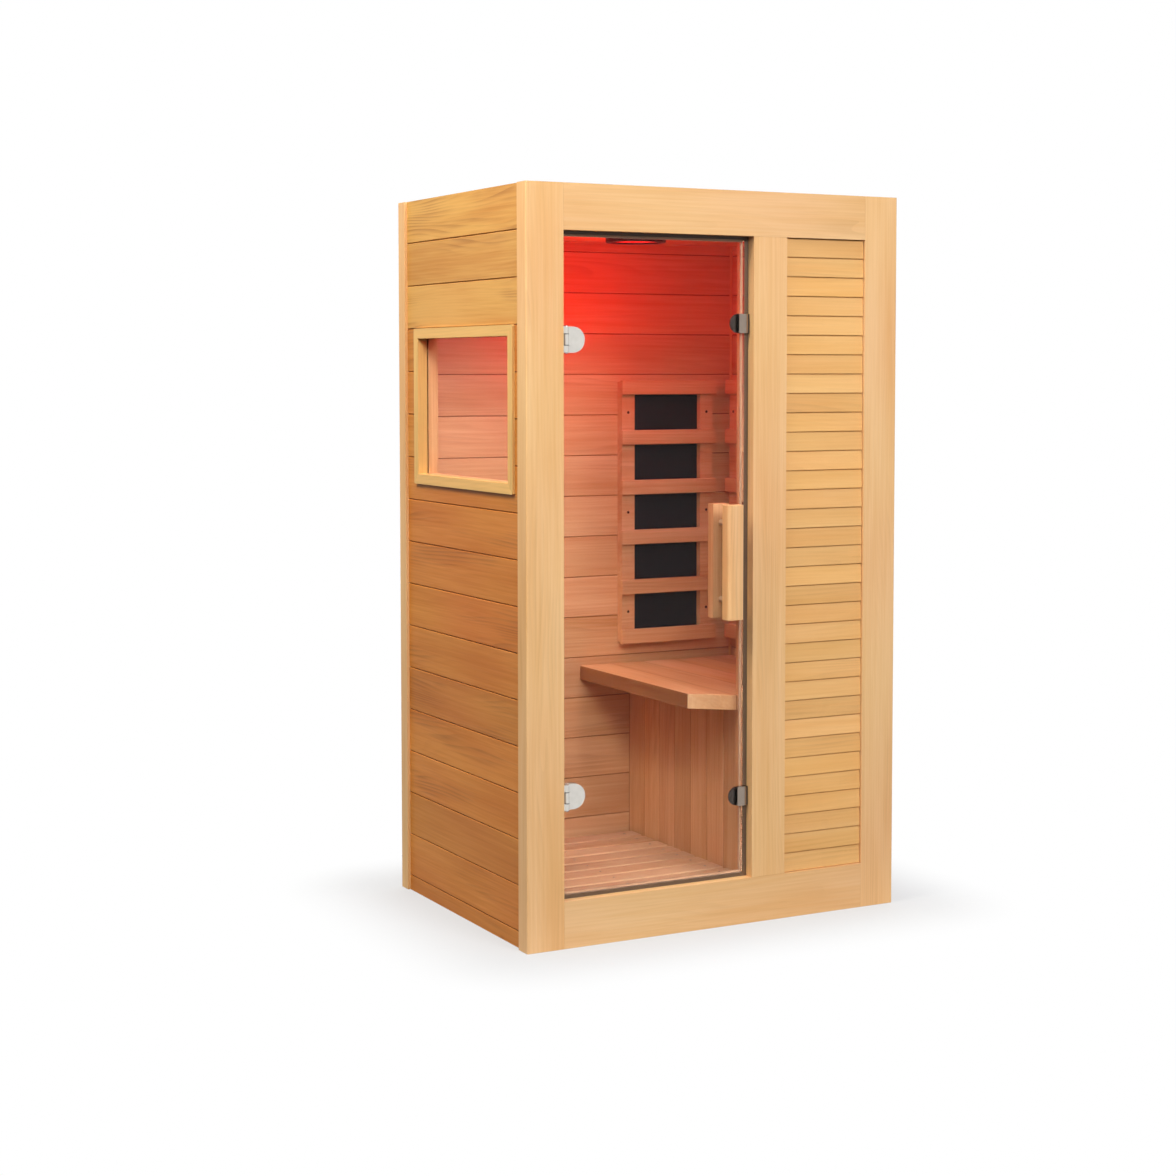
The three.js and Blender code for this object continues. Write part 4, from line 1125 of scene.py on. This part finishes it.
@dataclass
class Walls(SubAssembly):
    """Boarded walls, floor and roof."""

    slats: int = 9
    slat_first: float = -0.3335
    slat_pitch: float = 0.076
    slat_middle: float = 0.0315
    slat_screw_height: float = 0.0985
    bearers: Sequence[float] = (-0.4537, -0.1734, 0.107)
    post_side: float = 0.05
    roof_margin: float = 0.022
    roof_screws: int = 5
    roof_seat: float = 0.0004

    def dress(self) -> None:
        """Finishes the boards."""
        # The upper boards take paler shades: painted light, as if lit from above.
        figured = {"rings": 0.05, "figure": 0.32, "knots": 0.5, "variety": 0.1, "upper": SIDE_TOP_PAINTED_LIGHT}
        side = Timber("side_boards", Axis.Y, SIDE, OUTER_RUN, **figured)
        dress(["left_outer_boards", "right_outer_boards"], side)
        dress(["back_outer_boards"], Timber("rear_boards", Axis.X, SIDE, OUTER_RUN, **figured))
        dress(["left_inner_boards", "right_inner_boards"], Timber("side_lining", Axis.Y, INNER, INNER_RUN))
        dress(["back_inner_boards"], Timber("rear_lining", Axis.X, INNER, INNER_RUN))
        dress(["ceiling_boards"], Timber("ceiling_lining", Axis.X, INNER, CEILING_RUN))
        slat_run = BoardRun(Axis.Y, self.slat_first, self.slat_pitch)
        dress(["floor_duckboard"], Timber("floor_slats", Axis.X, FLOOR, slat_run, joint=0.0), Edge.FINE)
        plain = Timber("plain_timber", Axis.X, PLAIN, gloss=0.6)
        dress(["floor_base", "roof_frame", "bench_cleat_front", "bench_cleat_back"], plain, Edge.FINE)
        dress(["roof_cover"], Timber("roof_sheet", Axis.X, SHEET, gloss=0.55), Edge.FINE)

    def build(self) -> None:
        """Makes the screws of the slatted floor and of the roof cover."""
        places = []
        for i in range(self.slats):
            y = self.slat_first + self.slat_middle + i * self.slat_pitch
            # The first slat is notched for the stop post, so it has no screw on that side.
            xs = [x for x in self.bearers if i > 0 or x <= self.post_side]
            places += [((x, y, self.slat_screw_height), UP) for x in xs]
        settle(screw_heads("floor_screws", Screw.FLOOR, places, PIN_STEEL), CABIN)
        low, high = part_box("roof_cover")
        step = (high[0] - low[0] - 2 * self.roof_margin) / (self.roof_screws - 1)
        xs = [low[0] + self.roof_margin + k * step for k in range(self.roof_screws)]
        rim = [(x, y) for x in xs for y in (low[1] + self.roof_margin, high[1] - self.roof_margin)]
        rim += [(x, (low[1] + high[1]) / 2) for x in (xs[0], xs[-1])]
        heads = [((x, y, high[2] + self.roof_seat), UP) for x, y in rim]
        settle(screw_heads("roof_screws", Screw.ROOF, heads, PIN_STEEL), CABIN)


@dataclass
class Window(SubAssembly):
    """Casings and pane of the side window."""

    face: float = 0.027

    def dress(self) -> None:
        """Finishes the casings and the pane."""
        low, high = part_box("window_outer_casing")
        half = tuple((b - a) / 2 - self.face for a, b in zip(low, high))
        mitre = (middle("window_outer_casing"), half)
        dress(["window_outer_casing"], Timber("outer_casing", Axis.Y, CASING, mitre=mitre), Edge.FINE)
        dress(["window_inner_casing"], Timber("inner_casing", Axis.Y, INNER, mitre=mitre), Edge.FINE)
        dress(["window_pane"], WINDOW_GLASS)


@dataclass
class Door(SubAssembly):
    """Glass door with its hinges, catches, handle and seal."""

    boss_x: float = -0.408
    boss_half: float = 0.017
    clamp_seat: float = 0.0006
    catch_screw: float = 0.016
    leaf: float = 0.003
    jamb_seat: float = 0.0004
    jamb_y: float = -0.3775
    jamb_half: float = 0.02
    knuckle_radius: float = 0.0068
    knuckle_share: float = 0.43
    # Thickness and sides of the dark discs of painted shade between the knuckles.
    shade_disc_height: float = 0.002
    shade_disc_sides: int = 32

    def dress(self) -> None:
        """Finishes the carried-over door pieces."""
        dress([f"hinge_{w}_{p}" for w in PAIR for p in ("glass_leaf", "clamp")], CHROME, Edge.EASED)
        dress([f"hinge_{w}_frame_leaf" for w in PAIR], CHROME, Edge.EASED, hold=False)
        dress([f"catch_{w}_clip" for w in PAIR], CATCH_METAL, Edge.FINE, hold=False)
        dress([f"hinge_{w}_pin" for w in PAIR], PIN_STEEL, Edge.FINE)
        dress([f"handle_bolt_{w}" for w in PAIR], BOLT_METAL, Edge.FINE)
        dress(["door_glass"], DOOR_GLASS)
        dress(["door_seal"], SEAL)
        dress([f"catch_{w}_magnet" for w in PAIR], DARK_CASE, Edge.FINE)
        dress(["handle_outer_bar"], Timber("handle_bar", Axis.Z, FRONT), Edge.ROUND)
        dress(["handle_inner_bar"], Timber("inner_handle_bar", Axis.Z, INNER), Edge.ROUND)

    def build(self) -> None:
        """Makes the screws of the hinges with the dark discs of painted shade between their knuckles, and
        the screws of the catches.
        """
        heights = [middle(f"hinge_{w}_clamp")[2] for w in PAIR]
        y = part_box("hinge_upper_clamp")[1][1] + self.clamp_seat
        clamps = [((self.boss_x, y, z + s * self.boss_half), INWARD) for z in heights for s in SIDES]
        low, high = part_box("catch_upper_clip")
        x, y = low[0] + self.catch_screw, high[1] + self.clamp_seat
        clamps += [((x, y, middle(f"catch_{w}_clip")[2]), INWARD) for w in PAIR]
        settle(screw_heads("clamp_screws", Screw.CLAMP, clamps, CHROME), DOOR)
        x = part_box("hinge_upper_frame_leaf")[0][0] + self.leaf + self.jamb_seat
        jamb = [((x, self.jamb_y, z + s * self.jamb_half), RIGHT) for z in heights for s in SIDES]
        settle(screw_heads("jamb_screws", Screw.JAMB, jamb, CHROME), CABIN)
        self.knuckle_shade_discs()

    def knuckle_shade_discs(self) -> None:
        """Makes thin dark discs between the knuckles of each hinge: painted shade, standing for the shaded
        gaps where the knuckles meet.
        """
        shape = bmesh.new()
        for which in PAIR:
            x, y, _ = middle(f"hinge_{which}_pin")
            low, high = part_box(f"hinge_{which}_frame_leaf")
            half = (high[2] - low[2]) / 2 * self.knuckle_share
            for side in SIDES:
                bmesh.ops.create_cone(
                    shape,
                    cap_ends=True,
                    segments=self.shade_disc_sides,
                    radius1=self.knuckle_radius,
                    radius2=self.knuckle_radius,
                    depth=self.shade_disc_height,
                    matrix=Matrix.Translation((x, y, (low[2] + high[2]) / 2 + side * half)),
                )
        settle(piece_from("hinge_washers", shape, DARK_CASE), DOOR)


@dataclass
class Interior(SubAssembly):
    """Bench and heaters, of which the one on the back runs along X and those on the side along Y."""

    heaters: Sequence[tuple[str, Axis]] = (("back", Axis.X), ("side_rear", Axis.Y), ("side_front", Axis.Y))
    heater_bottom: float = 0.650
    rail_pitch: float = 0.1443
    rail_height: float = 0.042
    window_height: float = 0.1023
    screwed_windows: Sequence[int] = (0, 2, 4)
    stile_offset: float = 0.131
    screw_depth: float = 0.0269

    def dress(self) -> None:
        """Finishes the bench and the heaters."""
        dress(["bench_top"], Timber("bench_boards", Axis.Y, INNER, SEAT_RUN), Edge.ROUND)
        dress(["bench_panel"], Timber("bench_side", Axis.Z, INNER, BENCH_SIDE_RUN))
        for name, grain in self.heaters:
            dress([f"heater_{name}_grille"], Timber(f"grille_{grain.name}", grain, INNER), Edge.FINE)
            dress([f"heater_{name}_emitter"], EMITTER)

    def build(self) -> None:
        """Makes the screws that hold each heater's stiles to the wall."""
        first = self.heater_bottom + self.rail_height + self.window_height / 2
        heights = [first + i * self.rail_pitch for i in self.screwed_windows]
        places = []
        for name, along in self.heaters:
            node = f"heater_{name}_grille"
            depth = Axis.Y if along is Axis.X else Axis.X
            facing = tuple(-1.0 if axis is depth else 0.0 for axis in Axis)
            for side in SIDES:
                place = list(middle(node))
                place[along.value] += side * self.stile_offset
                place[depth.value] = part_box(node)[1][depth.value] - self.screw_depth
                places += [((place[0], place[1], z), facing) for z in heights]
        # The heads are dark: painted shade, standing for their shaded holes.
        settle(screw_heads("heater_screws", Screw.HEATER, places, SCREW_PAINTED_SHADE), CABIN)


@dataclass
class RoofFittings(SubAssembly):
    """Lamp, control box and cord gland."""

    lens_radius: float = 0.0697
    lens_colour: str = "FF2A18"

    def dress(self) -> None:
        """Finishes the fittings."""
        dress(["lamp_lens"], Glow("red_lens", self.lens_colour, middle("lamp_lens"), self.lens_radius))
        dress(["lamp_housing", "power_inlet_gland"], DARK_CASE, Edge.FINE)
        dress(["control_box"], GREY_CASE, Edge.EASED)


@dataclass
class Keypad(SubAssembly):
    """Controls on the inside of the front."""

    buttons: Sequence[str] = ("power", "light", "heat")
    display_depth: float = 0.0015
    display_rise: float = 0.022
    display_half: tuple[float, float] = (0.0505, 0.0145)
    display_glass: float = 0.0011
    ring_radius: float = 0.0048
    ring_inner: float = 0.72
    ring_rise: float = 0.0004
    ring_steps: int = 28

    def dress(self) -> None:
        """Finishes the housing and its buttons."""
        dress(["keypad_housing"], DARK_CASE, Edge.FINE, hold=False)
        dress([f"button_{name}" for name in self.buttons], BUTTON, Edge.FINE)

    def build(self) -> None:
        """Makes the display glass and a raised ring on each button."""
        x, _, z = middle("keypad_housing")
        z += self.display_rise
        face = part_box("keypad_housing")[1][1] - self.display_depth
        wide, tall = self.display_half
        outline = [(x + wide * i, z + tall * j) for i, j in ((-1, -1), (1, -1), (1, 1), (-1, 1))]
        shape = swept(outline, Axis.Y, face, face + self.display_glass)
        settle(piece_from("keypad_display", shape, DISPLAY), CABIN)
        for name in self.buttons:
            ring = piece_from(f"button_ring_{name}", self.ring(f"button_{name}"), DARK_CASE)
            settle(ring, f"{name}_button")

    def ring(self, button: str) -> Shape:
        """Makes the raised ring on a button.

        Args:
            button: the button's node.

        Returns:
            The closed ring.
        """
        x, _, z = middle(button)
        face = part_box(button)[1][1]
        inner = self.ring_radius * self.ring_inner
        top = face + self.ring_rise
        turns = [2 * math.pi * k / self.ring_steps for k in range(self.ring_steps)]
        shape = bmesh.new()
        loops = []
        for radius, y in ((self.ring_radius, face), (self.ring_radius, top), (inner, top), (inner, face)):
            points = [(x + radius * math.cos(turn), y, z + radius * math.sin(turn)) for turn in turns]
            loops.append([shape.verts.new(point) for point in points])
        for near, far in zip(loops, loops[1:] + loops[:1]):
            bridge(shape, near, far)
        return shape


@dataclass(frozen=True)
class Lamp:
    """A round area light, with its size in metres, its power in watts and its cone in degrees."""

    name: str
    place: Point
    aim: Point
    size: float
    power: float
    colour: Colour
    spread: float = 180.0

    def hang(self) -> None:
        """Adds the light to the scene."""
        data = bpy.data.lights.new(self.name, "AREA")
        data.shape = "DISK"
        data.size = self.size
        data.energy = self.power
        data.color = self.colour
        data.spread = math.radians(self.spread)
        way = (Vector(self.aim) - Vector(self.place)).to_track_quat("-Z", "Y")
        add_object(self.name, data).matrix_world = Matrix.Translation(self.place) @ way.to_matrix().to_4x4()


DAYLIGHT: Colour = (1.0, 0.985, 0.96)
WARM: Colour = (1.0, 0.91, 0.75)
RED: Colour = (1.0, 0.012, 0.012)


@dataclass
class Studio:
    """Floor, lights, background and camera."""

    eye: Point = mm(-2835.8, -5091.1, 1441.0)
    yaw: float = 28.297
    pitch: float = -3.429
    focal_px: float = 2140.74
    principal: tuple[float, float] = (612.74, 498.8)
    image: float = 1176.0
    sensor: float = 36.0
    clip: float = 60.0
    footprint: tuple[float, float] = mm(550.0, 400.0)
    floor_size: float = 14.0
    floor_drop: float = 0.0005
    horizon: float = 0.12
    zenith: float = 0.8
    zenith_from: float = 0.9
    rear: float = 0.95
    rear_way: tuple[float, float] = (0.6, 0.8)
    rear_from: float = 0.8
    glow_power: float = 4.5
    glow_size: float = 0.06
    glow_offset: Point = (-0.035, 0.03, -0.17)
    lamps: Sequence[Lamp] = (
        Lamp("key", (0.7, -6.9, 4.9), (0.0, -0.4, 0.9), 2.6, 290.0, DAYLIGHT),
        Lamp("front", (-2.9, -5.8, 4.6), (0.0, -0.2, 0.9), 2.6, 150.0, DAYLIGHT),
        Lamp("fill", (-2.4, -0.7, 4.0), (-0.55, 0.0, 1.9), 1.6, 36.0, WARM, 100.0),
    )

    def camera(self) -> None:
        """Sets the camera as the photograph was taken."""
        data = bpy.data.cameras.new("view")
        data.sensor_width = self.sensor
        data.lens = self.sensor * self.focal_px / self.image
        data.shift_x = (self.image / 2 - self.principal[0]) / self.image
        data.shift_y = (self.principal[1] - self.image / 2) / self.image
        data.clip_end = self.clip
        camera = add_object("view", data)
        camera.location = self.eye
        camera.rotation_euler = (math.radians(90.0 + self.pitch), 0.0, math.radians(-self.yaw))
        bpy.context.scene.camera = camera

    def floor(self) -> None:
        """Lays the pale floor just under the cabin."""
        shape = bmesh.new()
        bmesh.ops.create_grid(shape, x_segments=1, y_segments=1, size=self.floor_size)
        bmesh.ops.translate(shape, verts=shape.verts, vec=(0.0, 0.0, -self.floor_drop))
        plane = piece_from("studio_floor", shape, PaleFloor("studio_floor", self.footprint))

    def world(self) -> None:
        """Lights all sides, more from above and behind, and shows as white."""
        world = bpy.data.worlds.new("studio")
        bpy.context.scene.world = world
        world.use_nodes = True
        graph = Graph(world.node_tree)
        way = graph.add("ShaderNodeTexCoord").outputs["Generated"]
        sky = graph.fade(graph.part(way, Axis.Z), 0.0, self.zenith_from)
        sky = graph.spread(sky, self.horizon, self.zenith)
        behind = graph.math("MULTIPLY", graph.part(way, Axis.Y), self.rear_way[1])
        behind = graph.math("MULTIPLY_ADD", graph.part(way, Axis.X), self.rear_way[0], behind)
        sky = graph.math("MULTIPLY_ADD", graph.fade(behind, 0.0, self.rear_from), self.rear, sky)
        seen = graph.seen()
        light = graph.math("MULTIPLY", sky, graph.math("SUBTRACT", 1.0, seen))
        shown = {"Color": (1.0, 1.0, 1.0, 1.0), "Strength": graph.math("ADD", light, seen)}
        background = graph.add("ShaderNodeBackground", shown)
        graph.add("ShaderNodeOutputWorld", {"Surface": background.outputs[0]})

    def lights(self) -> None:
        """Hangs the lamps, and the red glow under the ceiling lamp."""
        for lamp in self.lamps:
            lamp.hang()
        data = bpy.data.lights.new("glow", "POINT")
        data.energy = self.glow_power
        data.color = RED
        data.shadow_soft_size = self.glow_size
        x, y, _ = middle("lamp_lens")
        base = (x, y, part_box("lamp_lens")[0][2])
        glow = add_object("glow", data)
        glow.location = tuple(a + b for a, b in zip(base, self.glow_offset))
        glow.visible_camera = False
        glow.visible_transmission = False
        glow.visible_glossy = False

    def build(self) -> None:
        """Sets up the whole studio."""
        bpy.context.scene.view_settings.view_transform = "Standard"
        self.camera()
        self.floor()
        self.world()
        self.lights()


def main() -> None:
    """Builds and dresses each sub-assembly in order."""
    logging.basicConfig(level=logging.INFO, format="%(name)s: %(message)s")
    Studio().build()
    for part in (FrontPanel(), Walls(), Window(), Door(), Interior(), RoofFittings(), Keypad()):
        part.dress()
        part.build()


if __name__ == "__main__":
    main()
